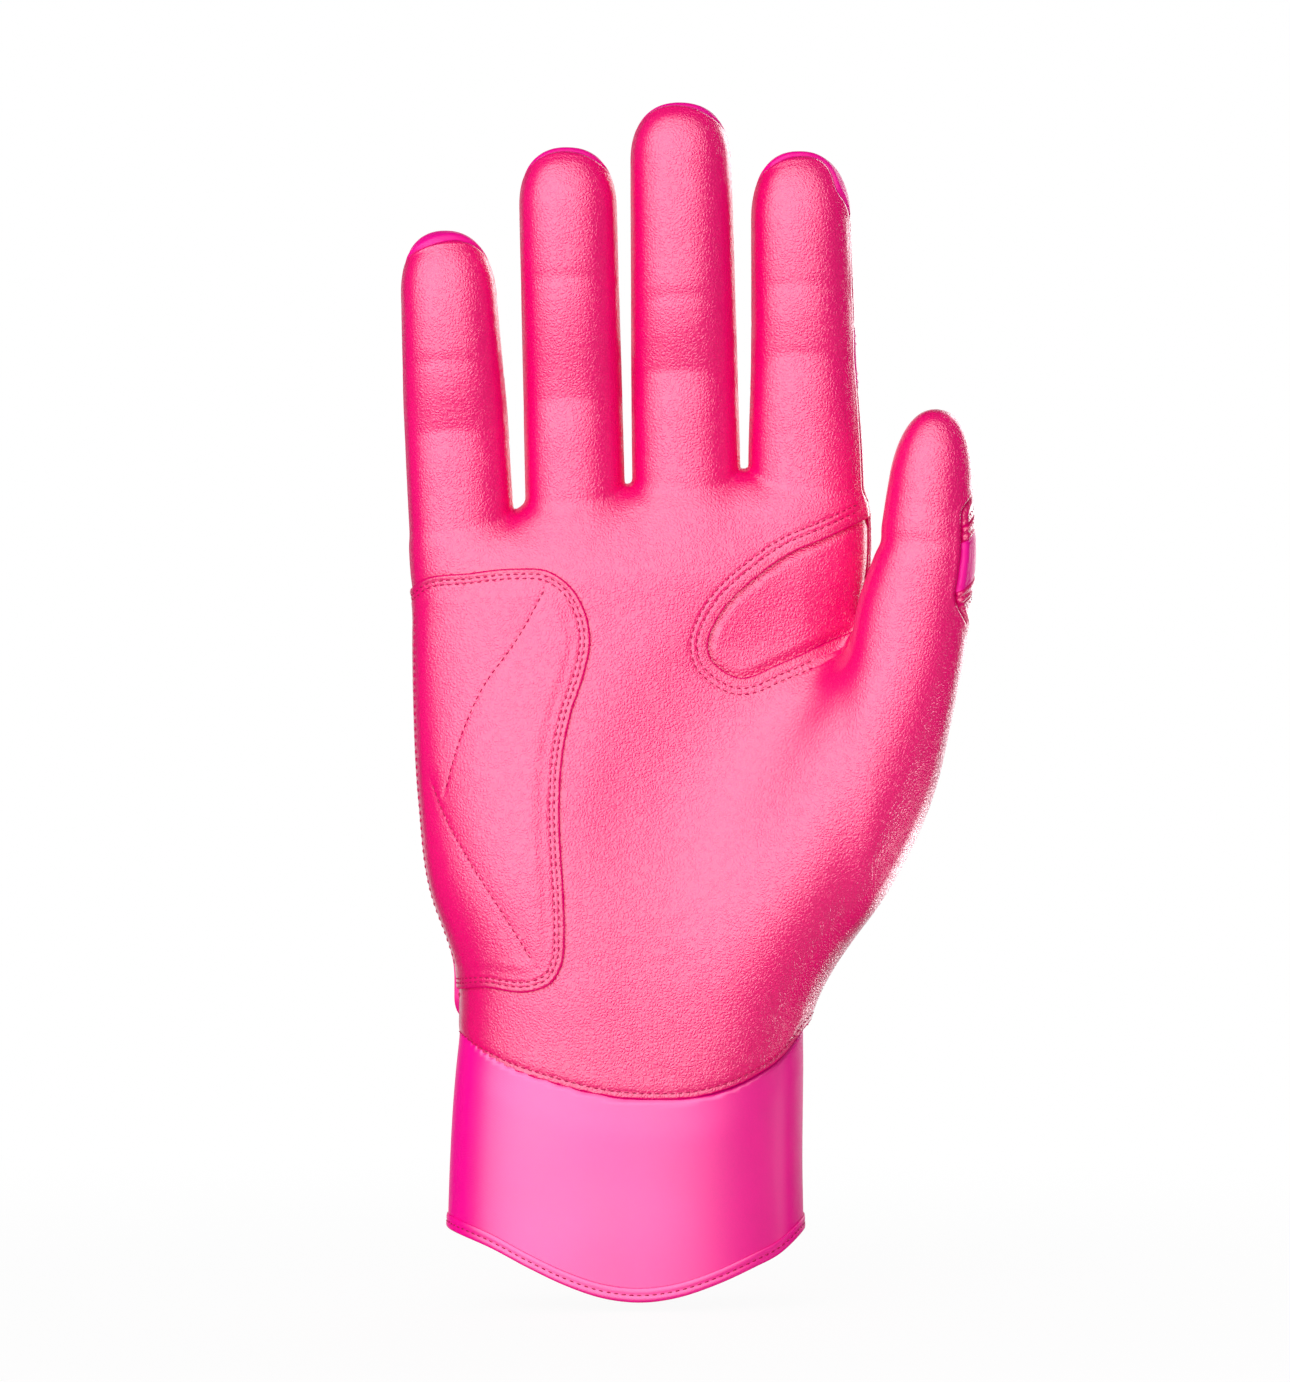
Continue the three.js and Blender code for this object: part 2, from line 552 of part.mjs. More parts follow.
// Closure strap over the vent: sewn end, free end with hook tape, and the loop tape that it grips
function buildStrap() {
  const { low, high } = STRAP_BAND;
  const layer = (from, to) => handForm(to).subtract(handForm(from));
  const loopTop = GAP + TAPE;
  const hookTop = loopTop + GAP + TAPE;
  const strapTop = hookTop + GAP + STRAP;
  const band = (margin, endY, fromX, toX) => {
    const corner = STRAP_END_CORNER - margin;
    const end = new THREE.Shape();
    end.moveTo(FAR, low + margin).lineTo(FAR, high - margin).lineTo(endY + corner, high - margin);
    end.quadraticCurveTo(endY, high - margin, endY, high - margin - corner);
    end.lineTo(endY, low + margin + corner);
    end.quadraticCurveTo(endY, low + margin, endY + corner, low + margin);
    return prismX(end, fromX, toX);
  };
  const free = band(0, STRAP_END_Y, -FAR, STRAP_ROOT_X);
  const sewn = box(STRAP_ROOT_X + GAP, STRAP_ROOT_X + GAP + STRAP_ANCHOR, 0, FAR, low, high);
  const tapeBand = band(TAPE_MARGIN, STRAP_END_Y + TAPE_MARGIN, -FAR, LOOP_FROM_X);
  piece("strap", layer(hookTop + GAP, strapTop).intersect(free), "stretch");
  piece("hook_patch", layer(loopTop + GAP, hookTop).intersect(tapeBand), "tape");
  piece("loop_patch", layer(GAP, loopTop).intersect(tapeBand), "tape");
  piece("strap_anchor", layer(GAP, strapTop).intersect(sewn), "stretch");
}

buildPalm();
names.forEach(buildFinger);
buildThumb();
buildCuff();
buildStrap();

const glove = new THREE.Group();
for (const [name, { body, finish }] of pieces) {
  const mesh = new THREE.Mesh(geometryOf(body), new THREE.MeshStandardMaterial(COLOURS[finish]));
  mesh.name = name;
  glove.add(mesh);
}

export default glove;
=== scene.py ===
# %% [markdown]
# # A long-cuff batting glove, seen from the palm
# The glove is thin goatskin sewn round the shape of a hand, with a neoprene cuff below it. Its solids,
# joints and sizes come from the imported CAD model, and this script only dresses them, so loading comes
# first.

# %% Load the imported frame
import math
from collections import namedtuple
import bpy
import numpy as np
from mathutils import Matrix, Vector, kdtree
from mathutils.geometry import tessellate_polygon


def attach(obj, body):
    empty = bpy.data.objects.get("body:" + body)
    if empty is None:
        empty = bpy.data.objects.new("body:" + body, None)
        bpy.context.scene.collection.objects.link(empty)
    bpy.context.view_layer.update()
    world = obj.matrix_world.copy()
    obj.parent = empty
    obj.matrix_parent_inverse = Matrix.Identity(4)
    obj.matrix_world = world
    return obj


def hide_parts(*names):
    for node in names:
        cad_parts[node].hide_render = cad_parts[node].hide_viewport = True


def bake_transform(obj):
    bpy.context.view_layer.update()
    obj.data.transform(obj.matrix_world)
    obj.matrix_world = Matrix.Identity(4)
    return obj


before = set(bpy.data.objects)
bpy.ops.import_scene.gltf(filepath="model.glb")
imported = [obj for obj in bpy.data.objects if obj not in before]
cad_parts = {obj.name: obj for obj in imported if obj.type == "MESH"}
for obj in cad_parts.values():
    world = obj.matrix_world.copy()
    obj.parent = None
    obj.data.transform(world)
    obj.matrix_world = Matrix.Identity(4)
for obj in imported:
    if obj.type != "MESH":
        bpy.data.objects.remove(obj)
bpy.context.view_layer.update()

# %% [markdown]
# ## Measures
# The camera looks straight at the palm, so one scale turns places in the picture into millimetres across
# (x) and up (z). All shapes are worked out in millimetres and become metres only when an object is made.
# Two small tools serve everywhere: a smooth curve through a few values, and a smooth line through a few
# points.

# %% Measures and smooth curves
MM = 0.001
PIXEL = 0.21  # millimetres of glove for each pixel of the picture
FRAME_WIDE, FRAME_TALL = 1290, 1382
MIDDLE_PIXEL, HEM_PIXEL = 626, 1294  # the column of x = 0 and the row of z = 0


def from_picture(*pixels):
    return np.array([((px - MIDDLE_PIXEL) * PIXEL, (HEM_PIXEL - py) * PIXEL) for px, py in pixels])


def ease(t):
    t = np.clip(t, 0, 1)
    return t * t * (3 - 2 * t)


def curve(at, stations, values):
    stations, values = np.asarray(stations, float), np.asarray(values, float)
    slopes = np.gradient(values, stations)
    k = np.clip(np.searchsorted(stations, at) - 1, 0, len(stations) - 2)
    span = stations[k + 1] - stations[k]
    t = np.clip((at - stations[k]) / span, 0, 1)
    lead = values[k] * (1 + 2 * t) * (1 - t) ** 2 + values[k + 1] * t * t * (3 - 2 * t)
    return lead + span * (slopes[k] * t * (1 - t) ** 2 + slopes[k + 1] * t * t * (t - 1))


def line_through(points, step=0.4):
    points = np.asarray(points, float)
    chord = np.r_[0, np.cumsum(np.linalg.norm(np.diff(points, axis=0), axis=1))]
    at = np.linspace(0, chord[-1], max(2, int(chord[-1] / step) + 1))
    return np.stack([curve(at, chord, points[:, k]) for k in range(points.shape[1])], 1)


def unit(vectors):
    return vectors / np.maximum(np.linalg.norm(vectors, axis=-1, keepdims=True), 1e-9)


print("picture frame in mm:", round(FRAME_WIDE * PIXEL, 1), "by", round(FRAME_TALL * PIXEL, 1))

# %% [markdown]
# ## The hand inside the glove
# A filled glove has no edges where fingers meet the palm: the leather bridges them in soft fillets. Lofts
# and booleans leave creases there. Instead each form (palm, finger, thumb) gives every point of a grid
# its distance to that form, and a smooth minimum melts the distances into one field. The skin is where
# the field is zero.

# %% Grid and melting
STEP = 0.75
LOW, HIGH = np.array([-54.0, -36.0, 36.0]), np.array([82.0, 30.0, 256.0])
EMPTY, REACH = 30.0, 15.0  # the field's value before any form, and how far a form's distance is told
ticks = [np.arange(LOW[k], HIGH[k] + STEP, STEP) for k in range(3)]
field = np.full([len(t) for t in ticks], EMPTY)


def block(low, high):
    cut = []
    for k in range(3):
        first = max(0, int((low[k] - LOW[k]) / STEP))
        last = min(len(ticks[k]), int((high[k] - LOW[k]) / STEP) + 2)
        cut.append(slice(first, last))
    return tuple(cut), np.meshgrid(*[ticks[k][cut[k]] for k in range(3)], indexing="ij")


def to_distance(form):
    steepness = np.sqrt(sum(g * g for g in np.gradient(form, STEP)))
    return np.clip((form - 1) / np.maximum(steepness, 0.02), -REACH, REACH)


def melt(cut, distance, fillet):
    old = field[cut]
    share = np.clip(0.5 + 0.5 * (old - distance) / fillet, 0, 1)
    field[cut] = old + (distance - old) * share - fillet * share * (1 - share)


def bump(x, z, at_x, at_z, wide, tall):
    return np.exp(-(((x - at_x) / wide) ** 2) - ((z - at_z) / tall) ** 2)


print("grid:", field.shape)

# %% [markdown]
# ## Palm
# The palm is a flat oval tube that narrows to the wrist. The ball of the little finger stands forward,
# and a hollow runs from the web of the thumb to the wrist, as in a hand that is about to close. On the
# back the knuckles lift the leather a little. It could be lofted through a few sections. Here each grid
# point is measured against the section at its own height, because then hollow and knuckles are small sums
# on the same numbers.

# %% Palm form
PALM_Z = [36.0, 46.0, 56.0, 62.0, 70.0, 76.0, 82.7, 103.7, 124.7, 145.7, 157.0, 168.0]
PALM_LEFT = [-35.4, -35.2, -35.0, -34.9, -35.4, -37.3, -39.8, -42.9, -44.0, -44.0, -43.2, -40.6]
PALM_RIGHT = [37.7, 37.7, 37.7, 38.0, 39.5, 41.0, 42.8, 46.4, 49.0, 50.4, 50.4, 47.0]
PALM_FRONT = [21.0, 21.0, 21.2, 21.4, 21.2, 20.9, 20.4, 18.4, 16.2, 13.8, 12.0, 9.0]
PALM_BACK = [21.4, 21.4, 21.5, 21.5, 20.8, 20.0, 19.0, 17.0, 15.0, 13.4, 11.8, 9.0]
PALM_SQUARE = 2.5  # roundness of the section: 2 is an ellipse, more is squarer
PALM_FILLET = 4.0
PALM_TOP, PALM_DOME = 157.0, 13.0
SLOPE = 0.17  # how much the row of finger roots rises from the little finger to the index finger
HOLLOW = [(29.0, 130.0), (19.0, 121.0), (13.0, 110.0), (9.0, 99.0)]
HOLLOW_DEEP, HOLLOW_HALF = 3.2, 12.0
HEEL_BALL = (1.3, -27, 92, 15, 26)  # height of a swelling, its middle x and z, and its half width and height
FINGER_BALLS = (0.9, 2, 151, 40, 7)
KNUCKLES_X, KNUCKLE_BUMP = (-33, -11, 12, 36), (0.9, 154, 7, 9)
WEB_FALL = 0.18  # how far the palm falls back towards the thumb's web, as a share of its depth


def palm_form():
    cut, (x, y, z) = block((-54, -32, 34), (64, 28, 182))
    across = z - SLOPE * ease((z - 145) / 22) * x
    left, right = curve(across, PALM_Z, PALM_LEFT), curve(across, PALM_Z, PALM_RIGHT)
    front, back = curve(across, PALM_Z, PALM_FRONT), curve(across, PALM_Z, PALM_BACK)
    spots = line_through(HOLLOW, 10.0)
    trough = sum(bump(x, z, hx, hz, HOLLOW_HALF, HOLLOW_HALF) for hx, hz in spots)
    front = front - HOLLOW_DEEP * (1 - np.exp(-trough))
    for swell, *place in (HEEL_BALL, FINGER_BALLS):
        front = front + swell * bump(x, z, *place)
    front = front * (1 - WEB_FALL * ease((x - 36) / 16) * ease((z - 118) / 14) * ease((170 - z) / 12))
    swell, *place = KNUCKLE_BUMP
    back = back + sum(swell * bump(x, z, kx, *place) for kx in KNUCKLES_X)
    u = np.abs(x - (left + right) / 2) / ((right - left) / 2)
    v = np.abs(y) / np.where(y < 0, front, back)
    top = np.maximum(across - PALM_TOP, 0) / PALM_DOME
    form = (u**PALM_SQUARE + v**PALM_SQUARE + top**PALM_SQUARE) ** (1 / PALM_SQUARE)
    melt(cut, to_distance(form), PALM_FILLET)


palm_form()
print("palm cells inside:", int((field < 0).sum()))

# %% [markdown]
# ## Fingers
# Each finger is a tube with a round end. Leather over a finger isn't a plain tube: it creases where the
# finger bends, and swells in pads between the creases, so the palm side gets both. It could be sculpted,
# but soft bumps added to the distance keep every size a number. Between its two creases a relaxed finger
# also leans a little to the palm side, which breaks the sheen there as in the picture. The index finger
# leans least, because the thumb needs room when the hand closes.

# %% Finger forms
Finger = namedtuple("Finger", "root_x tip_x base middle tip root_wide mid_wide end_wide "
                              "depth low_crease high_crease")
FINGERS = {
    "pinky": Finger(-33.8, -37.0, 168.0, 187.0, 222.9, 21.9, 21.5, 20.0, 17.6, 181.0, 195.5),
    "ring": Finger(-10.2, -12.1, 172.5, 192.0, 240.4, 20.8, 20.6, 20.3, 18.6, 187.7, 213.0),
    "middle": Finger(13.1, 11.5, 174.5, 195.0, 249.8, 22.6, 22.2, 21.0, 19.2, 193.6, 209.0),
    "index": Finger(38.3, 36.7, 174.5, 197.5, 239.8, 24.0, 21.8, 20.8, 18.6, 197.0, 211.6),
}
FOOT = 148.0
DOME = {"pinky": 14.8, "ring": 12.8, "middle": 12.8, "index": 15.6}
LEAN = {"pinky": 3.4, "ring": 4.2, "middle": 3.6, "index": 1.4}  # how far a finger leans to the palm side
FINGER_SQUARE = 2.3
CREASE_LINE, CREASE_VALLEY = (0.2, 1.1), (0.28, 5.0)  # depth and half width
CREASE_BOW = 1.1  # how far a crease bows downwards at the sides of a finger
PAD_SWELLS, PAD_HALF = (0.2, 0.15, 0.3), 6.5
KNUCKLE_SWELL, KNUCKLE_HALF = 0.5, 7.0


def finger_line(name, z):
    own = FINGERS[name]
    return own.root_x + (own.tip_x - own.root_x) * (z - FOOT) / (own.tip - DOME[name] - FOOT)


def finger_half(name, z):
    own, dome = FINGERS[name], DOME[name]
    stations = [FOOT, own.base, own.middle, (own.middle + own.tip - dome) / 2, own.tip - dome]
    widths = [own.root_wide, own.root_wide, own.mid_wide, (own.mid_wide + own.end_wide) / 2, own.end_wide]
    return curve(z, stations, np.array(widths) / 2)


def finger_lean(name, z):
    own = FINGERS[name]
    return LEAN[name] * ease((z - own.low_crease + 4) / (own.high_crease - own.low_crease + 8))


def finger_form(name):
    own, dome = FINGERS[name], DOME[name]
    centre = (own.root_x + own.tip_x) / 2
    cut, (x, y, z) = block((centre - 22, -20, 136), (centre + 22, 20, own.tip + 7))
    off = x - finger_line(name, z)
    deep = own.depth / 2 * (1 - 0.07 * ease((z - own.middle) / (own.tip - own.middle)))
    y = y + finger_lean(name, z)
    over = np.maximum(z - (own.tip - dome), 0) / dome
    under = np.maximum(158 - z, 0) / 17
    parts = (np.abs(off) / finger_half(name, z), np.abs(y) / deep, over, under)
    distance = to_distance(sum(part**FINGER_SQUARE for part in parts) ** (1 / FINGER_SQUARE))
    palm_side = ease(-y / deep)
    for crease in (own.low_crease, own.high_crease):
        arc = z - crease + CREASE_BOW * (off / 10) ** 2
        fold = sum(depth * np.exp(-((arc / half) ** 2)) for depth, half in (CREASE_LINE, CREASE_VALLEY))
        distance = distance + palm_side * fold
    pads = [(own.base + own.low_crease) / 2 + 2, (own.low_crease + own.high_crease) / 2,
            (own.high_crease + own.tip - 4) / 2]
    for pad, swell in zip(pads, PAD_SWELLS):
        distance = distance - swell * palm_side * np.exp(-(((z - pad) / PAD_HALF) ** 2))
    knuckle = np.exp(-(((z - own.middle) / KNUCKLE_HALF) ** 2))
    fillet = 0.3 + 4.2 * ease((own.base - 2 - z) / 9)
    melt(cut, distance - KNUCKLE_SWELL * ease(y / deep) * knuckle, fillet)


for finger in FINGERS:
    finger_form(finger)
print("with fingers:", int((field < 0).sum()))

# %% [markdown]
# ## Thumb
# The thumb leans out and forward of the palm, and swells at its root into the ball of the thumb. A tube
# swept along a curve would do for the tip, but not for the ball, which has to melt into the palm. So each
# grid point first finds its place along the thumb's middle line, a curve in space, then how far off that
# line it is. Where the ball meets the palm a fillet alone still shows as a fold, so the field there is
# blurred once more.

# %% Thumb form
THUMB = np.array([  # middle line x, y, z, half width, half depth
    (18.0, -4.0, 46.0, 5.0, 9.0), (28.5, -6.5, 72.0, 12.8, 15.0), (40.6, -8.8, 93.0, 16.4, 16.2),
    (50.8, -11.0, 114.0, 15.6, 14.4), (57.0, -12.8, 129.0, 12.4, 12.0), (60.0, -13.8, 143.6, 11.7, 10.6),
    (62.4, -14.4, 155.0, 10.3, 9.7), (63.2, -14.5, 166.5, 9.1, 8.9), (64.1, -14.5, 176.0, 8.4, 8.5),
    (67.5, -14.5, 200.0, 8.4, 8.5)])
THUMB_TIP, THUMB_DOME, THUMB_SQUARE = 185.2, 15.0, 2.2
THUMB_CREASE = (0.5, 2.0, 1.8)  # depth, height above the knuckle, half width
KNUCKLE = np.array([62.8, -14.5, 155.0])
THUMB_UP = np.array([math.sin(math.radians(5)), 0.0, math.cos(math.radians(5))])
THUMB_BACK = np.array([0.785, 0.616, -0.069])  # towards the back of the thumb, square to its joint


def thumb_form():
    cut, (x, y, z) = block((4, -36, 38), (82, 18, 194))
    reach = np.r_[0, np.cumsum(np.linalg.norm(np.diff(THUMB[:, :3], axis=0), axis=1))]
    dense = np.linspace(0, reach[-1], 400)
    line = np.stack([curve(dense, reach, THUMB[:, k]) for k in range(5)])
    way = unit(np.gradient(line[:3], dense, axis=1).T).T
    place = np.interp(z, line[2], dense)
    for _ in range(4):
        off = [p - np.interp(place, dense, line[k]) for k, p in enumerate((x, y, z))]
        place = place + sum(o * np.interp(place, dense, way[k]) for k, o in enumerate(off))
    off = [p - np.interp(place, dense, line[k]) for k, p in enumerate((x, y, z))]
    tx, tz = np.interp(place, dense, way[0]), np.interp(place, dense, way[2])
    across = (off[0] * tz - off[2] * tx) / np.hypot(tx, tz)
    deep = np.sqrt(np.maximum(sum(o * o for o in off) - across**2, 0))
    tip = np.interp(THUMB_TIP, line[2], dense)
    over = np.maximum(place - (tip - THUMB_DOME), 0) / THUMB_DOME
    parts = (np.abs(across) / np.interp(place, dense, line[3]), deep / np.interp(place, dense, line[4]), over)
    distance = to_distance(sum(part**THUMB_SQUARE for part in parts) ** (1 / THUMB_SQUARE))
    height = (x - KNUCKLE[0]) * THUMB_UP[0] + (z - KNUCKLE[2]) * THUMB_UP[2]
    inner = ease(-((x - 63) * THUMB_BACK[0] + (y + 14.5) * THUMB_BACK[1]) / 9)
    crease_deep, crease_at, crease_half = THUMB_CREASE
    distance = distance + crease_deep * inner * np.exp(-(((height - crease_at) / crease_half) ** 2))
    melt(cut, distance, 4.5 + 6.5 * ease((140 - z) / 25))


def soften_ball(reach=6.0):
    cut, (x, y, z) = block((-12, -36, 44), (60, 2, 142))
    share = ease((x + 8) / 12) * ease((52 - x) / 8) * ease((-y - 5) / 6)
    share = share * ease((z - 50) / 12) * ease((138 - z) / 14)
    taps = np.arange(-int(2 * reach / STEP), int(2 * reach / STEP) + 1)
    weights = np.exp(-0.5 * (taps * STEP / reach) ** 2)
    smooth = field[cut]
    for axis in range(3):
        last = smooth.shape[axis] - 1
        shifted = [np.take(smooth, np.clip(np.arange(last + 1) + t, 0, last), axis) for t in taps]
        smooth = sum(w * part for w, part in zip(weights / weights.sum(), shifted))
    field[cut] += share * (smooth - field[cut])


thumb_form()
soften_ball()
print("with thumb:", int((field < 0).sum()))

# %% [markdown]
# ## From field to skin
# A surface net puts one point in each grid cell that the zero level crosses, joins the points of
# neighbouring cells, and slides them onto the level. Marching cubes would find the same level, but with
# thin slivers that are bad to cut. Normals are read from the field's own slope, so panels that are cut
# out of this skin later still shade as one smooth surface.

# %% Reading the field
slopes = [g.astype(np.float32) for g in np.gradient(field, STEP)]


def read(grids, points):
    place = np.clip((points - LOW) / STEP, 0, np.array(field.shape) - 1.001)
    cell = place.astype(int)
    t = place - cell
    out = [0.0] * len(grids)
    for i in range(8):
        corner = [(i >> k) & 1 for k in range(3)]
        weight = np.prod([t[:, k] if corner[k] else 1 - t[:, k] for k in range(3)], axis=0)
        index = tuple(cell[:, k] + corner[k] for k in range(3))
        out = [o + weight * g[index] for o, g in zip(out, grids)]
    return out


def outward(points):
    return unit(np.stack(read(slopes, points), 1))


def onto_skin(points, rounds=5):
    for _ in range(rounds):
        value, *slope = read([field] + slopes, points)
        slope = np.stack(slope, 1)
        points = points - slope * (value / np.maximum((slope**2).sum(1), 0.2))[:, None]
    return points


print("steepest slope of the field:", round(float(max(np.abs(g).max() for g in slopes)), 2))

# %% Surface net
def surface_net():
    inside = field < 0
    corners = [inside[i:, j:, k:][: field.shape[0] - 1, : field.shape[1] - 1, : field.shape[2] - 1]
               for i in (0, 1) for j in (0, 1) for k in (0, 1)]
    count = sum(c.astype(np.int8) for c in corners)
    mixed = (count > 0) & (count < 8)
    index = np.full(mixed.shape, -1)
    index[mixed] = np.arange(mixed.sum())
    points = LOW + (np.argwhere(mixed) + 0.5) * STEP
    quads = []
    for axis in range(3):
        u, v = [k for k in range(3) if k != axis]
        span = [slice(1, -1)] * 3
        near, far = span.copy(), span.copy()
        near[axis], far[axis] = slice(None, -1), slice(1, None)
        here, there = inside[tuple(near)], inside[tuple(far)]
        found = np.argwhere(here != there)
        solid_first = here[here != there]
        quad = []
        for du, dv in ((0, 0), (1, 0), (1, 1), (0, 1)):
            cell = found.copy()
            cell[:, u] += du
            cell[:, v] += dv
            quad.append(index[tuple(cell.T)])
        quad = np.stack(quad, 1)
        turn = solid_first if axis == 1 else ~solid_first
        quad[turn] = quad[turn][:, ::-1]
        quads.append(quad)
    quads = np.concatenate(quads)
    for _ in range(3):
        points = onto_skin(points, 2)
        total, times = np.zeros_like(points), np.zeros(len(points))
        for a, b in ((0, 1), (1, 2), (2, 3), (3, 0)):
            np.add.at(total, quads[:, a], points[quads[:, b]])
            np.add.at(times, quads[:, a], 1)
        points = 0.5 * points + 0.5 * total / np.maximum(times, 1)[:, None]
    points = onto_skin(points)
    return points, np.concatenate([quads[:, [0, 1, 2]], quads[:, [0, 2, 3]]])


skin = surface_net()
print("skin points:", len(skin[0]), "faces:", len(skin[1]))

# %% [markdown]
# ## Scissors
# A glove maker cuts panels out of a hide along a marked line. Here a line is a number given to every
# point of a mesh, positive on one side and negative on the other. Scoring puts an edge where the number
# passes zero, so a panel ends in a clean line and not in the saw teeth of the grid. Trimming then keeps
# the positive side.

# %% Scoring and trimming
def roll(faces, first):
    return np.take_along_axis(faces, (first[:, None] + np.arange(3)) % 3, 1)


def score(sheet, line):
    points, faces = sheet
    line = np.where(np.abs(line) < 0.03, 0.0, line)
    side = np.sign(line).astype(int)
    crossed = (side[faces].min(1) < 0) & (side[faces].max(1) > 0)
    cut = faces[crossed]
    edges = np.sort(cut[:, [[0, 1], [1, 2], [2, 0]]].reshape(-1, 2), axis=1)
    edges = np.unique(edges[side[edges[:, 0]] * side[edges[:, 1]] < 0], axis=0)
    first, second = edges.T
    share = line[first] / (line[first] - line[second])
    fresh = points[first] + share[:, None] * (points[second] - points[first])
    count = len(points)
    keys = first * count + second

    def between(a, b):
        return count + np.searchsorted(keys, np.minimum(a, b) * count + np.maximum(a, b))

    touching = (side[cut] == 0).any(1)
    z = roll(cut[touching], (side[cut[touching]] == 0).argmax(1))
    m = between(z[:, 1], z[:, 2])
    parts = [faces[~crossed], np.stack([z[:, 0], z[:, 1], m], 1), np.stack([z[:, 0], m, z[:, 2]], 1)]
    lone = cut[~touching]
    a = roll(lone, (side[lone] == -side[lone].sum(1)[:, None]).argmax(1))
    m, n = between(a[:, 0], a[:, 1]), between(a[:, 0], a[:, 2])
    parts += [np.stack(t, 1) for t in ((a[:, 0], m, n), (m, a[:, 1], a[:, 2]), (m, a[:, 2], n))]
    return (np.concatenate([points, fresh]), np.concatenate(parts)), np.r_[line, np.zeros(len(fresh))]


def keep(sheet, wanted):
    used, index = np.unique(sheet[1][wanted], return_inverse=True)
    return sheet[0][used], index.reshape(-1, 3)


def trim(sheet, *rules):
    for rule in rules:
        sheet, line = score(sheet, rule(sheet[0]))
        sheet = keep(sheet, line[sheet[1]].sum(1) > 0)
    return sheet


def marked(sheet, rule, *offsets):
    for offset in offsets:
        sheet, _ = score(sheet, rule(sheet[0]) - offset)
    return sheet


print("a test cut at half height keeps", len(trim(skin, lambda p: p[:, 2] - 140)[1]), "faces")

# %% [markdown]
# ## Where the panels meet
# The side seam runs round each finger between palm leather and back. Near a fingertip it moves forward,
# because the coloured cap is folded over the tip and shows from the palm. On the thumb it turns with the
# thumb, whose back faces outwards, and comes forward only beside the ribbed insert. The crotches between
# fingers are read from the field, so that cuts start just above them.

# %% Seam and finger zones
ORDER = list(FINGERS)
TIP_FOLD = {"pinky": (4.6, -0.5), "ring": (3.2, 0.25), "middle": (2.8, 0.7), "index": (3.2, -0.2)}
CAP = 13.0
# beside the index fingertip the cap comes further forward: how far, at which height, over which half height
INDEX_TUCK, INDEX_TUCK_AT, INDEX_TUCK_HALF = 5.0, 232.5, 4.5


def between_fingers(a, b, z):
    return (finger_line(a, z) + finger_half(a, z) + finger_line(b, z) - finger_half(b, z)) / 2


def crotch(a, b):
    heights = np.arange(158.0, 182.0, 0.25)
    across = np.linspace(-12, 12, 25)
    for z in heights:
        points = np.stack([np.full(25, between_fingers(a, b, z)), across, np.full(25, z)], 1)
        if read([field], points)[0].min() > 0:
            return z
    return heights[-1]


crotches = [crotch(a, b) for a, b in zip(ORDER, ORDER[1:])]
cuts = dict(zip(ORDER, [max(crotches[max(k - 1, 0):k + 1]) + 0.4 for k in range(4)]))


def finger_zone(name, p, low):
    k, z = ORDER.index(name), p[:, 2]
    left = p[:, 0] - between_fingers(ORDER[k - 1], name, z) if k else np.full(len(p), 50.0)
    right = between_fingers(name, ORDER[k + 1], z) - p[:, 0] if k < 3 else 52.0 - p[:, 0]
    return np.minimum(np.minimum(left, right), z - low)


def beside_thumb(p):
    return (p[:, 0] - 51) - 0.45 * (p[:, 1] + 7)


def thumb_height(p):
    return (p - KNUCKLE) @ THUMB_UP


def behind_thumb(p):
    middle = np.stack([np.interp(p[:, 2], THUMB[:, 2], THUMB[:, k]) for k in range(2)], 1)
    return (p[:, :2] - middle) @ THUMB_BACK[:2]


def seam_side(p):
    x, y, z = p.T
    side = y + 8 * ease((x - 40) / 25)
    for name, (fold, tilt) in TIP_FOLD.items():
        off = (x - finger_line(name, z)) / finger_half(name, z)
        near = (np.abs(off) < 1.06) & (z > 175)
        rise = ease((z - FINGERS[name].tip + 7.5) / 6)
        folded = fold * (1 + tilt * np.clip(off, -1, 1)) * rise + finger_lean(name, z)
        if name == "index":
            tuck = np.exp(-(((z - INDEX_TUCK_AT) / INDEX_TUCK_HALF) ** 2))
            folded = folded + INDEX_TUCK * ease((off - 0.3) / 0.5) * tuck
        side = side + np.where(near, folded, 0)
    share = ease((z - 120) / 24) * ease((x - 49.5) / 4)
    away = ease((z - 163) / 9) + ease((147 - z) / 12)
    return side + share * (behind_thumb(p) - 1.4 - 9 * away - side)


print("crotches at", crotches, "cuts at", {k: round(v, 1) for k, v in cuts.items()})

# %% [markdown]
# ## Turning a cut sheet into leather
# Leather has thickness, and sewing dents it. Each cut sheet is pushed in or out along the skin's normal
# by a relief rule, and its normals are tilted to match. A second layer below it and a rim close it into
# one solid sheet. A thickening modifier would do that too, but it would work out new normals, and two
# panels of one leather would part at their shared cut. Every mesh also keeps its place at rest and its
# distance from an edge, which the materials read: grain stays put when a finger bends, and cut edges lose
# their finish and are painted darker, as the shade that lies along an edge.

# %% Mesh objects
SEWN = "sewn_"  # each dressed piece is named after the CAD solid that it stands for


def edge_loops(faces, count):
    runs = np.concatenate([faces[:, [0, 1]], faces[:, [1, 2]], faces[:, [2, 0]]])
    lonely = ~np.isin(runs[:, 0] * count + runs[:, 1], runs[:, 1] * count + runs[:, 0])
    return runs[lonely]


def face_normals(points, faces):
    a, b, c = (points[faces[:, k]] for k in range(3))
    normals = np.zeros_like(points)
    for k in range(3):
        np.add.at(normals, faces[:, k], np.cross(b - a, c - a))
    return unit(normals)


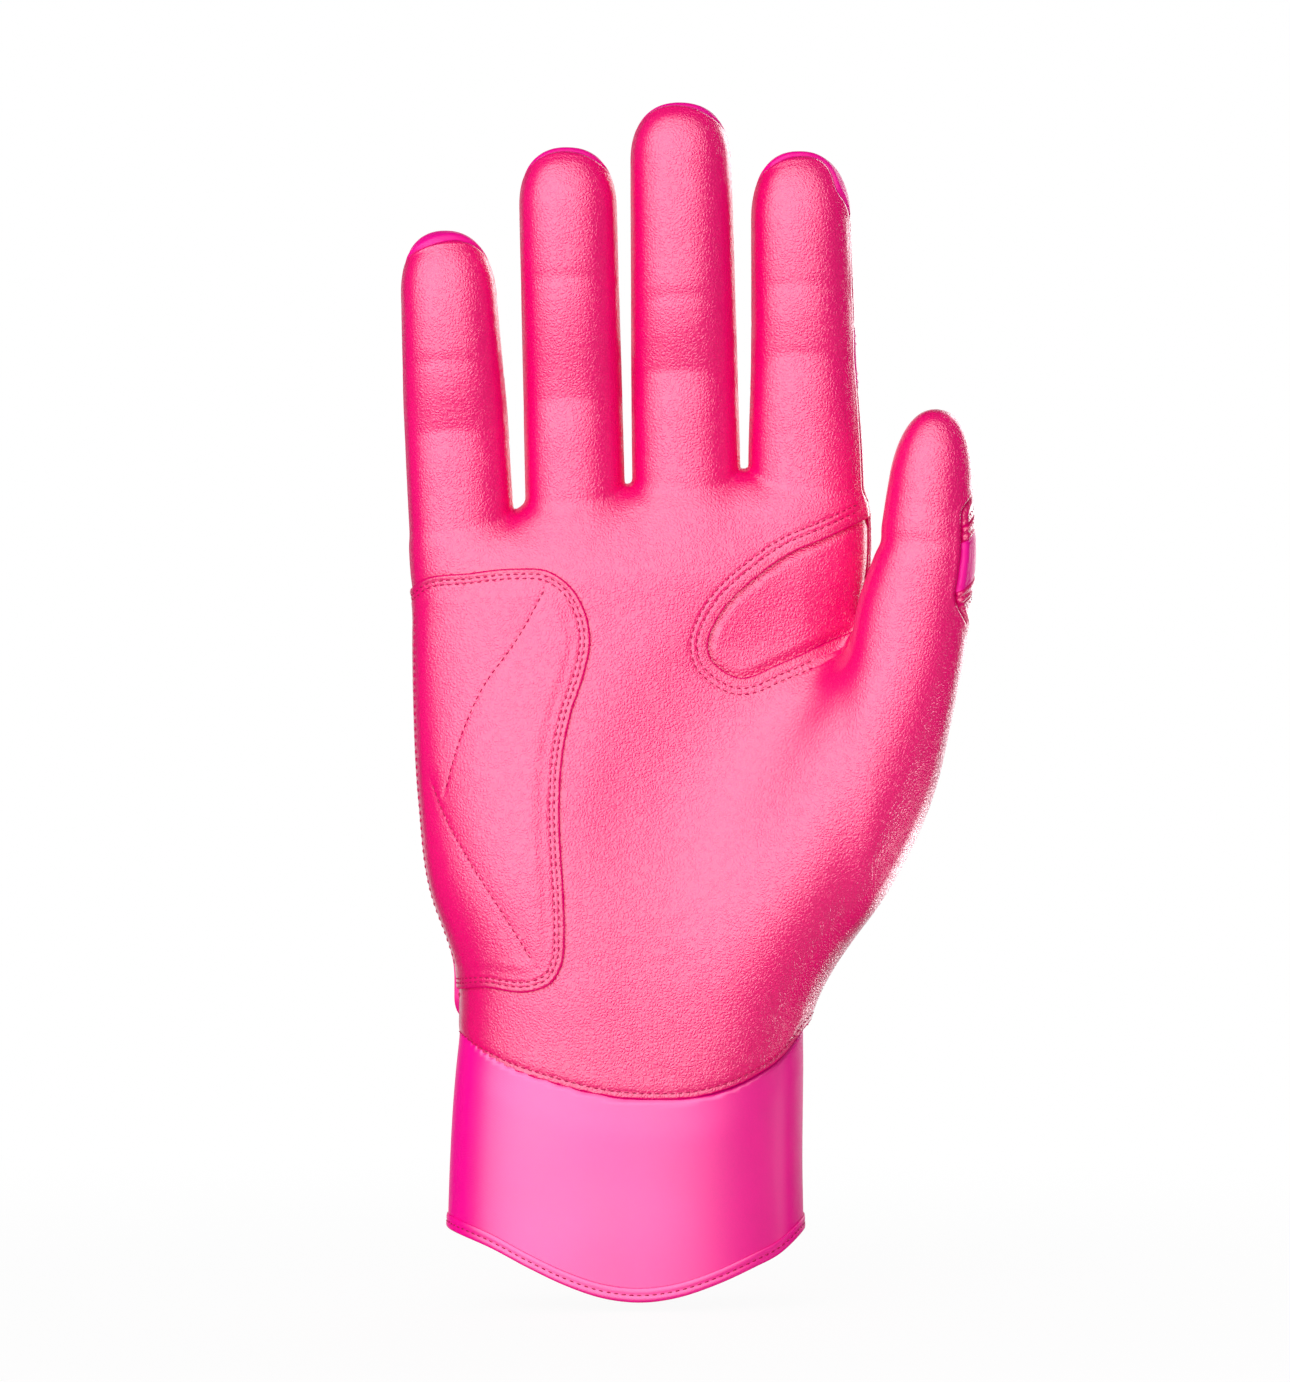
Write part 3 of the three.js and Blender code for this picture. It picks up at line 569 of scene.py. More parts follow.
def mesh_object(name, points, faces, corners, material, edge=None):
    mesh = bpy.data.meshes.new(name)
    mesh.vertices.add(len(points))
    mesh.vertices.foreach_set("co", (points * MM).astype(np.float32).ravel())
    mesh.loops.add(faces.size)
    mesh.loops.foreach_set("vertex_index", faces.astype(np.int32).ravel())
    mesh.polygons.add(len(faces))
    mesh.polygons.foreach_set("loop_start", np.arange(0, faces.size, 3, dtype=np.int32))
    mesh.update(calc_edges=True)
    mesh.polygons.foreach_set("use_smooth", np.ones(len(faces), bool))
    if corners is not None:
        mesh.normals_split_custom_set(unit(corners).reshape(-1, 3).tolist())
    place = mesh.attributes.new("place", "FLOAT_VECTOR", "POINT")
    place.data.foreach_set("vector", (points * MM).astype(np.float32).ravel())
    edge_nearness = mesh.attributes.new("edge", "FLOAT", "POINT")
    edge_nearness.data.foreach_set("value", (np.zeros(len(points)) if edge is None else edge).astype(np.float32))
    made = bpy.data.objects.new(name, mesh)
    bpy.context.scene.collection.objects.link(made)
    made.data.materials.append(material)
    return made


print("dressed pieces are named", SEWN + "SOLID")

# %% Closed sheets
LEATHER = 1.1  # thickness of the main leather
FEEL = 0.12  # how far to each side a relief's slope is felt


def near_edge(points, rim, reach):
    tree = kdtree.KDTree(len(rim))
    for k, p in enumerate(points[rim]):
        tree.insert(p, k)
    tree.balance()
    far = np.array([tree.find(p)[2] for p in points])
    return np.exp(-((far / reach) ** 2))


def closed_sheet(name, points, faces, normals, thick, material, joined=None, reach=1.6):
    count = len(points)
    under = points - normals * np.broadcast_to(thick, count)[:, None]
    rim = edge_loops(faces, count)
    aside = np.zeros((count, 3))
    for k in range(2):
        np.add.at(aside, rim[:, k], np.cross(points[rim[:, 1]] - points[rim[:, 0]], normals[rim[:, k]]))
    aside = unit(aside)
    a, b = rim.T
    walls = np.concatenate([np.stack([b, a, a + count], 1), np.stack([b, a + count, b + count], 1)])
    both = np.concatenate([faces, faces[:, ::-1] + count, walls])
    corners = np.concatenate([normals[faces], -normals[faces[:, ::-1]], aside[walls % count]])
    loose = np.unique(rim) if joined is None else np.setdiff1d(rim, np.flatnonzero(joined))
    edge = near_edge(points, loose, reach) if len(loose) else np.zeros(count)
    layers = np.concatenate([points, under])
    return mesh_object(SEWN + name, layers, both, corners, material, np.tile(edge, 2))


def dressed(name, sheet, material, thick=LEATHER, relief=None, base=None, joined=None):
    points, faces = sheet
    normals = outward(points)
    joined = None if joined is None else joined(points)
    thick = thick(points) if callable(thick) else thick
    if relief is not None:
        height = relief(points)
        tilt = np.zeros_like(points)
        for k in range(3):
            step = np.eye(3)[k] * FEEL
            tilt[:, k] = (relief(points + step) - relief(points - step)) / (2 * FEEL)
        tilt -= (tilt * normals).sum(1)[:, None] * normals
        thick = height - base(points) if base is not None else thick
        points = points + normals * height[:, None]
        normals = unit(normals - tilt)
    return closed_sheet(name, points, faces, normals, thick, material, joined)


print("leather is", LEATHER, "mm thick")

# %% [markdown]
# ## Surface effects
# Goatskin is pebbled: small domes less than a millimetre across with fine valleys between them, and pores
# on top. The same grain serves palm, heel patch and back, so it is a node group, and so are the uneven
# dye of the hide, which also paints shade into the grain's valleys and along cut edges, the fine knit of
# the stretch parts and the pile of the tapes, whose low ground between tufts is painted darker as shade.
# Pictures of leather could do this, but they show pixels and seams up close. All groups read the "place"
# that each mesh keeps, in metres, so nothing slides when a finger bends.

# %% Node helpers
def add(tree, kind, inputs=None, **settings):
    made = tree.nodes.new("ShaderNode" + kind)
    for key, value in settings.items():
        setattr(made, key, value)
    for key, value in (inputs or {}).items():
        if isinstance(value, bpy.types.NodeSocket):
            tree.links.new(value, made.inputs[key])
        else:
            made.inputs[key].default_value = value
    return made


def maths(tree, operation, *values):
    return add(tree, "Math", dict(enumerate(values)), operation=operation).outputs[0]


def spread(tree, value, low, high, to_low=0.0, to_high=1.0):
    limits = {"Value": value, "From Min": low, "From Max": high, "To Min": to_low, "To Max": to_high}
    return add(tree, "MapRange", limits, interpolation_type="SMOOTHSTEP").outputs["Result"]


def new_group(name, inputs, outputs):
    tree = bpy.data.node_groups.new(name, "ShaderNodeTree")
    for label, kind, value in inputs:
        tree.interface.new_socket(label, in_out="INPUT", socket_type=kind).default_value = value
    for label, kind in outputs:
        tree.interface.new_socket(label, in_out="OUTPUT", socket_type=kind)
    return tree, tree.nodes.new("NodeGroupInput").outputs, tree.nodes.new("NodeGroupOutput").inputs


FLOAT, COLOUR = "NodeSocketFloat", "NodeSocketColor"
PER_METRE = 1000.0  # cells in a metre when a cell is one millimetre wide


def rest_place(tree):
    return add(tree, "Attribute", attribute_name="place").outputs["Vector"]


def noise(tree, place, scale, detail=2.0):
    return add(tree, "TexNoise", {"Vector": place, "Scale": scale, "Detail": detail}).outputs


print("kinds of sockets:", FLOAT, COLOUR)

# %% Leather groups
SWAY_SCALE, SWAY_FAR = 430.0, 0.0011  # the pebbles' edges wander by half a millimetre at most
PORE_SCALE, PORE_SHARE = 3600.0, 0.3
DOME_EDGE, VALLEY_EDGE = 0.34, 0.16  # how wide the slope of a pebble and the valley beside it are, in cells
CLOUD_SCALE, SPECK_SCALE = 34.0, 700.0


def grain_group():
    outputs = [("Height", FLOAT), ("Valley", FLOAT)]
    tree, given, wanted = new_group("Pebble grain", [("Cell", FLOAT, 1.05)], outputs)
    place = rest_place(tree)
    sway = noise(tree, place, SWAY_SCALE, 1.0)["Color"]
    sway = add(tree, "VectorMath", {0: sway, 1: (0.5, 0.5, 0.5)}, operation="SUBTRACT").outputs[0]
    shifted = {0: sway, 1: (SWAY_FAR,) * 3, 2: place}
    moved = add(tree, "VectorMath", shifted, operation="MULTIPLY_ADD").outputs[0]
    cells = {"Vector": moved, "Scale": maths(tree, "DIVIDE", PER_METRE, given["Cell"])}
    gap = add(tree, "TexVoronoi", cells, feature="DISTANCE_TO_EDGE").outputs["Distance"]
    dome = spread(tree, gap, 0.0, DOME_EDGE)
    pores = noise(tree, place, PORE_SCALE)["Fac"]
    tree.links.new(maths(tree, "MULTIPLY_ADD", pores, PORE_SHARE, dome), wanted["Height"])
    tree.links.new(spread(tree, gap, 0.0, VALLEY_EDGE, 1.0, 0.0), wanted["Valley"])
    return tree


def dye_and_shade_group():
    inputs = [("Colour", COLOUR, (1, 1, 1, 1)), ("Cut edge", COLOUR, (1, 1, 1, 1)), ("Valley", FLOAT, 0.0)]
    tree, given, wanted = new_group("Uneven dye", inputs, [("Colour", COLOUR), ("Raw", FLOAT)])
    place = rest_place(tree)
    edge_nearness = add(tree, "Attribute", attribute_name="edge").outputs["Fac"]
    clouds = spread(tree, noise(tree, place, CLOUD_SCALE, 3.0)["Fac"], 0.3, 0.7, 0.97, 1.02)
    specks = spread(tree, noise(tree, place, SPECK_SCALE)["Fac"], 0.3, 0.7, 0.985, 1.01)
    shade = maths(tree, "MULTIPLY", clouds, specks)
    # painted shade: the grain's valleys are darkened, as if shade lay in them
    shade = maths(tree, "MULTIPLY", shade, maths(tree, "MULTIPLY_ADD", given["Valley"], -0.1, 1.0))
    # painted shade: the leather is darkened near a cut edge, as if shadow lay along it
    shade = maths(tree, "MULTIPLY", shade, spread(tree, edge_nearness, 0.35, 0.95, 1.0, 0.86))
    dye_with_shade = add(tree, "VectorMath", {0: given["Colour"], "Scale": shade}, operation="SCALE").outputs[0]
    # painted shadow: the cut edge's wall takes the deep cut-edge colour, standing in for the shadow along it
    dark_rim_share = spread(tree, edge_nearness, 0.985, 0.999)
    mixed = add(tree, "Mix", {"Factor": dark_rim_share, "A": dye_with_shade, "B": given["Cut edge"]}, data_type="RGBA")
    tree.links.new(next(s for s in mixed.outputs if s.type == "RGBA"), wanted["Colour"])
    tree.links.new(spread(tree, edge_nearness, 0.9, 0.99), wanted["Raw"])
    return tree


grain, dye_and_shade = grain_group(), dye_and_shade_group()
print("leather groups:", grain.name, "and", dye_and_shade.name)

# %% Textile groups
FACE = [("Height", FLOAT), ("Shade", FLOAT)]  # what a textile group gives
WALE_TURN, COURSE_TURN = 6.283, 8.4  # wave of the knit, across and up, for each wale
FUZZ_SCALE, PATCH_SCALE = 2600.0, 60.0


def knit_group():
    tree, given, wanted = new_group("Fine knit", [("Wale", FLOAT, 0.55)], FACE)
    place = rest_place(tree)
    scale = maths(tree, "DIVIDE", PER_METRE, given["Wale"])
    parts = add(tree, "SeparateXYZ", {0: place}).outputs
    across = maths(tree, "ADD", parts["X"], maths(tree, "MULTIPLY", parts["Y"], 0.8))
    wales = maths(tree, "MULTIPLY", maths(tree, "MULTIPLY", across, scale), WALE_TURN)
    courses = maths(tree, "MULTIPLY", maths(tree, "MULTIPLY", parts["Z"], scale), COURSE_TURN)
    weave = maths(tree, "MULTIPLY", maths(tree, "SINE", wales), maths(tree, "SINE", courses))
    fuzz = noise(tree, place, FUZZ_SCALE)["Fac"]
    tree.links.new(maths(tree, "MULTIPLY_ADD", weave, 0.4, fuzz), wanted["Height"])
    patches = spread(tree, noise(tree, place, PATCH_SCALE)["Fac"], 0.3, 0.7, 0.96, 1.03)
    soft = maths(tree, "MULTIPLY_ADD", fuzz, 0.12, 0.92)
    tree.links.new(maths(tree, "MULTIPLY", soft, patches), wanted["Shade"])
    return tree


def pile_group():
    tree, given, wanted = new_group("Tape pile", [("Tuft", FLOAT, 0.9)], FACE)
    scale = maths(tree, "DIVIDE", PER_METRE, given["Tuft"])
    cells = {"Vector": rest_place(tree), "Scale": scale, "Randomness": 0.55}
    far = add(tree, "TexVoronoi", cells).outputs["Distance"]
    tree.links.new(spread(tree, far, 0.0, 0.6, 1.0, 0.0), wanted["Height"])
    # painted shade: the low ground between tufts is darker, as if shade lay there
    tree.links.new(spread(tree, far, 0.0, 0.7, 1.05, 0.7), wanted["Shade"])
    return tree


knit, pile = knit_group(), pile_group()
print("textile groups:", knit.name, "and", pile.name)

# %% [markdown]
# ## Materials
# The palm is dyed goatskin with a satin finish: saturated pink under a whitish sheen. The finish is a
# clear coat. It shows where the leather faces the viewer and again where it turns away, with deep colour
# between them, and it is missing on cut edges, whose deep colour is painted shadow. The caps and knuckle
# inserts are a brighter, bluer pink in a smooth stretch face. The cuff is neoprene with a jersey face.
# Thread takes the knit recipe with a very fine wale, and its colour is deeper than the leather that it
# holds: painted shade, for stitches sunk into the leather. With one recipe each for leather, knit and
# tape, pieces of one kind look alike and differ only in colour.

# %% Material recipes
def start_material(name):
    made = bpy.data.materials.new(name)
    made.use_nodes = True
    tree = made.node_tree
    return made, tree, tree.nodes["Principled BSDF"].inputs


def use(tree, group, inputs):
    return add(tree, "Group", inputs, node_tree=group).outputs


def set_values(shader, values):
    for label, value in values.items():
        shader[label].default_value = value


def set_colour(tree, shader, colour, shade):
    tint = add(tree, "VectorMath", {0: colour, "Scale": shade}, operation="SCALE").outputs[0]
    tree.links.new(tint, shader["Base Color"])


def set_bump(tree, shader, height, distance):
    grained = add(tree, "Bump", {"Height": height, "Distance": distance, "Strength": 1.0}).outputs["Normal"]
    tree.links.new(grained, shader["Normal"])
    return grained


def turned_away(tree):
    return add(tree, "LayerWeight", {"Blend": 0.5}).outputs["Facing"]


def leather_material(name, colour, cut_edge_in_shade, cell=0.72, deep=0.000055, rough=0.3):
    made, tree, shader = start_material(name)
    pebbles = use(tree, grain, {"Cell": cell})
    tint = use(tree, dye_and_shade, {"Colour": (*colour, 1), "Cut edge": (*cut_edge_in_shade, 1), "Valley": pebbles["Valley"]})
    tree.links.new(tint["Colour"], shader["Base Color"])
    satin = maths(tree, "MULTIPLY_ADD", pebbles["Valley"], 0.08, rough)
    tree.links.new(maths(tree, "MULTIPLY_ADD", tint["Raw"], 0.55, satin), shader["Roughness"])
    turned = turned_away(tree)
    satin_face, pale_rim = spread(tree, turned, 0.16, 0.36, 1.0, 0.2), spread(tree, turned, 0.46, 0.62)
    finished = maths(tree, "SUBTRACT", 1.0, tint["Raw"])
    sheen = maths(tree, "MULTIPLY", maths(tree, "MAXIMUM", satin_face, pale_rim), finished)
    tree.links.new(sheen, shader["Coat Weight"])
    set_values(shader, {"Specular IOR Level": 0.04, "Coat IOR": 2.0, "Coat Roughness": rough})
    tree.links.new(set_bump(tree, shader, pebbles["Height"], deep), shader["Coat Normal"])
    return made


def knit_material(name, colour, wale=0.55, deep=0.00003, rough=0.34, gloss=0.2):
    made, tree, shader = start_material(name)
    face = use(tree, knit, {"Wale": wale})
    set_colour(tree, shader, colour, face["Shade"])
    set_values(shader, {"Roughness": rough, "Specular IOR Level": 0.05})
    tree.links.new(spread(tree, turned_away(tree), 0.14, 0.42, gloss, 0.0), shader["Coat Weight"])
    set_values(shader, {"Coat IOR": 2.4, "Coat Roughness": rough})
    set_bump(tree, shader, face["Height"], deep)
    return made


def tape_material(name, colour, tuft, deep):
    made, tree, shader = start_material(name)
    face = use(tree, pile, {"Tuft": tuft})
    set_colour(tree, shader, colour, face["Shade"])
    set_values(shader, {"Roughness": 0.6})
    set_bump(tree, shader, face["Height"], deep)
    return made


# the cut-edge colour is deeper than the hide: it paints in the shadow that lies along a cut edge
PINK, CUT_IN_SHADE = (0.91, 0.001, 0.172), (0.6, 0.001, 0.11)
palm_skin = leather_material("goatskin_palm", PINK, CUT_IN_SHADE)
back_skin = leather_material("goatskin_back", (0.88, 0.001, 0.167), CUT_IN_SHADE)
inset_skin = leather_material("goatskin_inset", (0.92, 0.001, 0.174), CUT_IN_SHADE, deep=0.00006)
bright = knit_material("stretch_magenta", (0.95, 0.002, 0.31))
neoprene = knit_material("neoprene_jersey", (0.99, 0.001, 0.31), wale=0.45, gloss=0.7)
# the thread's colour is deeper than the leather's: painted shade, for stitches sunk into the leather
thread = knit_material("bonded_thread", (0.5, 0.002, 0.095), wale=0.3)
hooks = tape_material("hook_tape", (0.72, 0.03, 0.2), 1.0, 0.0004)
loops_tape = tape_material("loop_tape", (0.75, 0.04, 0.22), 0.6, 0.0002)
foam = knit_material("foam", (0.8, 0.72, 0.72), wale=0.8, rough=0.9)
print("materials:", len(bpy.data.materials))

# %% [markdown]
# ## Sewing
# Every row of stitching follows a line of equal distance from an edge or seam. The rows are read off the
# cut sheets as level lines, chained into one path each, and set with single stitches: short, rounded, a
# little sunk at both ends, as thread is where it goes through leather. A row could be a picture or a
# dashed curve, but single stitches catch light and go round a bend with the leather.

# %% Level lines
def level_lines(sheet, values):
    points, faces = sheet
    above, count = values > 0, len(points)
    after = np.roll(faces, -1, 1)
    crossing = above[faces] != above[after]
    keys = np.minimum(faces, after) * count + np.maximum(faces, after)
    pairs = keys[crossing.any(1)][crossing[crossing.any(1)]].reshape(-1, 2)
    spots, links = np.unique(pairs, return_inverse=True)
    low, high = spots // count, spots % count
    share = values[low] / (values[low] - values[high])
    places = points[low] + share[:, None] * (points[high] - points[low])
    beside = [[] for _ in spots]
    for a, b in links.reshape(-1, 2).tolist():
        beside[a].append(b)
        beside[b].append(a)
    free, lines = set(range(len(spots))), []
    for first in sorted(range(len(spots)), key=lambda k: len(beside[k])):
        chain = []
        while first in free:
            free.discard(first)
            chain.append(first)
            first = next((k for k in beside[chain[-1]] if k in free), -1)
        if len(chain) > 3:
            lines.append(places[chain])
    return lines


def along(line, step):
    reach = np.r_[0, np.cumsum(np.linalg.norm(np.diff(line, axis=0), axis=1))]
    at = np.arange(step / 2, reach[-1], step)
    return np.stack([np.interp(at, reach, line[:, k]) for k in range(3)], 1)


def rows(sheet, rule, *offsets):
    values = rule(sheet[0])
    return [line for offset in offsets for line in level_lines(sheet, values - offset)]


def only(lines, rule):
    kept = []
    for line in lines:
        wanted = rule(line) > 0
        for run in np.split(np.arange(len(line)), np.flatnonzero(np.diff(wanted)) + 1):
            if wanted[run[0]] and len(run) > 5:
                kept.append(line[run])
    return kept


def level(height):
    return lambda p: np.full(len(p), height)


def from_front(at):
    outer, inner = np.full(len(at), -35.5), np.full(len(at), -4.0)
    for _ in range(24):
        points = np.stack([at[:, 0], (outer + inner) / 2, at[:, 1]], 1)
        out = read([field], points)[0] > 0
        outer, inner = np.where(out, points[:, 1], outer), np.where(out, inner, points[:, 1])
    return points


print("level line at half height:", len(rows(skin, lambda p: p[:, 2], 140.0)), "loop")

# %% Stitches
PITCH, STITCH, THREAD = 1.6, 1.08, 0.15  # distance from stitch to stitch, its length, its half thickness
RISE, SINK, END_TAPER = 0.1, 0.16, 0.94  # a stitch stands up in its middle and goes down at its ends
RINGS, SIDES = 5, 6


def stitch_mesh(name, lines, lift, normals_at=outward, pitch=PITCH):
    middle, way, up = [], [], []
    for line in lines:
        path = along(line, pitch / 4)
        if len(path) < 9:
            continue
        path = path + normals_at(path) * lift(path)[:, None]
        middle.append(path[4:-4:4])
        way.append(unit(path[6:-2:4] - path[2:-6:4])[: len(middle[-1])])
        up.append(normals_at(path)[4:-4:4])
    middle, way, up = (np.concatenate(v) for v in (middle, way, up))
    side = unit(np.cross(way, up))
    up = np.cross(side, way)
    rings = []
    for s in np.linspace(-1, 1, RINGS):
        round_off = THREAD * math.sqrt(1 - (END_TAPER * s) ** 2)
        centre = middle + way * (s * STITCH / 2) + up * (RISE - SINK * s * s)
        for k in range(SIDES):
            a = 2 * math.pi * k / SIDES
            rings.append(centre + round_off * (math.cos(a) * side + math.sin(a) * up))
    points = np.stack(rings, 1)
    quads = []
    for r in range(RINGS - 1):
        for k in range(SIDES):
            a, b = r * SIDES + k, r * SIDES + (k + 1) % SIDES
            quads += [(a, b, b + SIDES), (a, b + SIDES, a + SIDES)]
    last = (RINGS - 1) * SIDES
    for k in range(1, SIDES - 1):
        quads += [(0, k + 1, k), (last, last + k, last + k + 1)]
    faces = np.array(quads)[None] + (np.arange(len(middle)) * RINGS * SIDES)[:, None, None]
    return mesh_object(name, points.reshape(-1, 3), faces.reshape(-1, 3), None, thread)


print("stitches are", STITCH, "mm long, one each", PITCH, "mm")

# %% [markdown]
# ## Outlines on the palm
# Three outlines are drawn on the palm: the heel patch, the web window between index finger and thumb, and
# the lower edge, where the leather lies over the cuff. They are taken from the picture as a few points
# and smoothed. Painted masks would do for colour, but a line gives every point its distance, and edges,
# relief and stitch rows all need that distance.

# %% Outlines
HEEL = from_picture(
    (380, 600), (412, 590), (420, 583), (472, 574), (518, 570), (548, 572), (570, 586), (585, 610),
    (591, 638), (585, 675), (573, 711), (565, 748), (561, 800), (562, 846), (565, 892), (566, 932),
    (564, 959), (551, 981), (533, 988), (481, 985), (460, 988), (380, 988))
QUILT = [from_picture((548, 587), (518, 641), (484, 690), (463, 739), (448, 794)),
         from_picture((435, 779), (446, 809), (472, 858), (509, 916), (539, 965))]
WEB = from_picture(
    (905, 503), (869, 518), (827, 538), (786, 556), (753, 580), (728, 603), (713, 626), (707, 646),
    (710, 659), (720, 669), (735, 677), (780, 663), (827, 642), (850, 632), (890, 610), (915, 560),
    (915, 510))
LOWER = from_picture(
    (440, 1022), (461, 1038), (505, 1062), (554, 1078), (604, 1090), (649, 1094), (704, 1090),
    (753, 1072), (783, 1052), (804, 1027), (822, 1010))
heel_line, web_line = line_through(HEEL, 0.8), line_through(WEB, 0.8)
print("heel patch outline:", len(heel_line), "points, web window:", len(web_line))

# %% Distances from the outlines
OUTSIDE, FAR_OFF = -20.0, 20.0  # what points far from an outline and far from a line get


def inside(p, outline):
    at = p[:, [0, 2]]
    out = np.full(len(at), OUTSIDE)
    near = ((at > outline.min(0) - 6) & (at < outline.max(0) + 6)).all(1)
    picked = at[near]
    start, run = outline, np.roll(outline, -1, 0) - outline
    found = []
    for some in np.array_split(picked, max(1, len(picked) // 4096)):
        off = some[:, None] - start
        t = np.clip((off * run).sum(2) / (run**2).sum(1), 0, 1)
        far = np.linalg.norm(off - t[..., None] * run, axis=2).min(1)
        above, then = start[:, 1] > some[:, 1:2], (start + run)[:, 1] > some[:, 1:2]
        rise = np.where(run[:, 1] == 0, 1e-9, run[:, 1])
        crossing = start[:, 0] + (some[:, 1:2] - start[:, 1]) / rise * run[:, 0]
        hits = (above != then) & (some[:, :1] < crossing)
        found.append(np.where(hits.sum(1) % 2 == 1, far, -far))
    if len(picked):
        out[near] = np.concatenate(found)
    return out


def in_heel(p):
    return np.where(p[:, 1] < 2, inside(p, heel_line), OUTSIDE)


def web_side(p):
    return inside(p, web_line)


def in_web(p):
    return np.minimum(web_side(p), -beside_thumb(p))


def lower_edge(x):
    return curve(x, LOWER[:, 0], LOWER[:, 1])


def above_edge(p):
    return p[:, 2] - lower_edge(p[:, 0])


def quilt_far(p):
    far = np.full(len(p), FAR_OFF)
    for line in QUILT:
        spots = line_through(line, 0.5)
        for some in np.array_split(np.arange(len(p)), max(1, len(p) // 8192)):
            gaps = np.linalg.norm(p[some][:, None, [0, 2]] - spots, axis=2).min(1)
            far[some] = np.minimum(far[some], gaps)
    return far


print("skin points on the heel patch:", int((in_heel(skin[0]) > 0).sum()))

# %% [markdown]
# ## Relief of the leather
# A side seam is sewn inside out and turned, so the leather dips into it and rolls up beside it.
# Topstitching pulls a shallow channel. The heel patch lies on top of the palm: its cut edge is 0.5 mm
# high, a soft pad lifts its middle, and two quilting rows press that pad down again. All this could be
# sculpted by hand, but as rules of the distance to a seam or row it stays exactly in place.

# %% Relief rules
# distances of the stitch rows from the edge that they follow
HEEL_ROWS, WEB_ROWS, EDGE_ROW, SIDE_ROW = (1.2, 2.1), (2.2, 3.5), 1.2, 3.4
ROW_DEEP, FIRM_ROW_DEEP = 0.12, 0.14  # how far a row pulls the leather in
SEAM_DEEP, SEAM_HALF = 0.55, 0.6
ROLL_HIGH, ROLL_AT, ROLL_HALF = 0.14, 1.5, 0.7  # the roll beside a seam
EDGE_FALL, EDGE_WIDE = 0.2, 3.5  # the leather's lower edge is drawn in to the cuff
PAD_HIGH, QUILT_PRESS, QUILT_WIDE = 0.3, 0.6, 2.6


def channel(distance, deep, wide=0.34):
    return -deep * np.exp(-((distance / wide) ** 2))


def seam_relief(p):
    side = np.abs(seam_side(p))
    roll_up = np.exp(-(((side - ROLL_AT) / ROLL_HALF) ** 2))
    return channel(side, SEAM_DEEP, SEAM_HALF) + ROLL_HIGH * roll_up


def leather_relief(p):
    front = p[:, 1] < 4
    web = np.where(front & (beside_thumb(p) < -0.5), web_side(p), OUTSIDE)
    height = seam_relief(p)
    for row in WEB_ROWS:
        height = height + channel(web + row, ROW_DEEP)
    low = above_edge(p)
    drawn_in = channel(low - EDGE_ROW, ROW_DEEP) - EDGE_FALL * ease((EDGE_WIDE - low) / EDGE_WIDE)
    return height + np.where(front, drawn_in, 0)


def pad_share(p):
    return ease((in_heel(p) - 3.4) / 2.4) * ease((-seam_side(p) - 3.5) / 4)


def patch_base(p):
    pressed = QUILT_PRESS * np.exp(-((quilt_far(p) / QUILT_WIDE) ** 2))
    return 0.06 + PAD_HIGH * pad_share(p) * (1 - pressed)


def patch_relief(p):
    d = in_heel(p)
    cut = 0.48 + 0.2 * ease(d / 0.5)
    sewn_in = sum(channel(d - row, FIRM_ROW_DEEP) for row in HEEL_ROWS)
    return patch_base(p) + cut + (sewn_in + channel(quilt_far(p), ROW_DEEP, 0.4))


def inset_relief(p):
    return -1.25 + 0.5 * ease(in_web(p) / 2.2)


front_skin = marked(trim(skin, lambda p: -seam_side(p)), seam_side, -0.4, -0.9, -1.5)
rear_skin = marked(trim(skin, seam_side), seam_side, 0.4, 0.9, 1.5)
print("front faces:", len(front_skin[1]), "back faces:", len(rear_skin[1]))

# %% [markdown]
# ## Palm, heel patch and web
# The palm panel is one cut of leather with a window for the web. Behind the window lies a second, softer
# layer, a little lower. The heel patch sits on top, over a thin pad. All four are cut from the same skin
# and lifted by different heights, so they lie on each other without gaps.

# %% Palm panels
THUMB_CUT = -6.0  # where the thumb's leather is parted from the palm, from its knuckle
KNUCKLE_LOW, KNUCKLE_HIGH = 7.0, 5.0  # how far a knuckle insert reaches below and above the joint
SHARED = 0.2  # nearer than this to a cut that two pieces share, an edge counts as one leather
SKIVE, SKIVE_WIDE = 0.6, 4.0  # the lower edge is thinned where it lies over the cuff
INSET = 0.8  # thickness of the layer behind the window


def in_thumb(p):
    return np.minimum(beside_thumb(p), thumb_height(p) - THUMB_CUT)


def off_fingers(p):
    return -np.max([finger_zone(name, p, cuts[name]) for name in ORDER], axis=0)


def at_fingers(p):
    return np.abs(off_fingers(p)) < SHARED


def joins_on(p):
    fold = np.zeros(len(p), bool)
    for name in ORDER:
        near = np.abs(p[:, 2] - FINGERS[name].middle + KNUCKLE_LOW) < SHARED
        fold |= near & (finger_zone(name, p, 150) > 0)
    return fold | at_fingers(p) | (np.abs(thumb_height(p) - THUMB_CUT) < SHARED)


open_palm = trim(front_skin, off_fingers, lambda p: -in_thumb(p), above_edge)
palm_sheet = marked(open_palm, web_side, -0.5, -1.8, -2.2, -2.6, -3.1, -3.5, -3.9)
palm_sheet = marked(palm_sheet, above_edge, 0.8, 1.2, 1.6, 2.4, 3.2)
palm_sheet = trim(palm_sheet, lambda p: -in_web(p))


def skived(p):
    return LEATHER - SKIVE * ease((SKIVE_WIDE - above_edge(p)) / SKIVE_WIDE)


palm = dressed("palm_leather", palm_sheet, palm_skin, skived, leather_relief, joined=joins_on)

inset_sheet = trim(open_palm, lambda p: in_web(p) + 1.5)
inset = dressed("web_inset", inset_sheet, inset_skin, INSET, inset_relief)

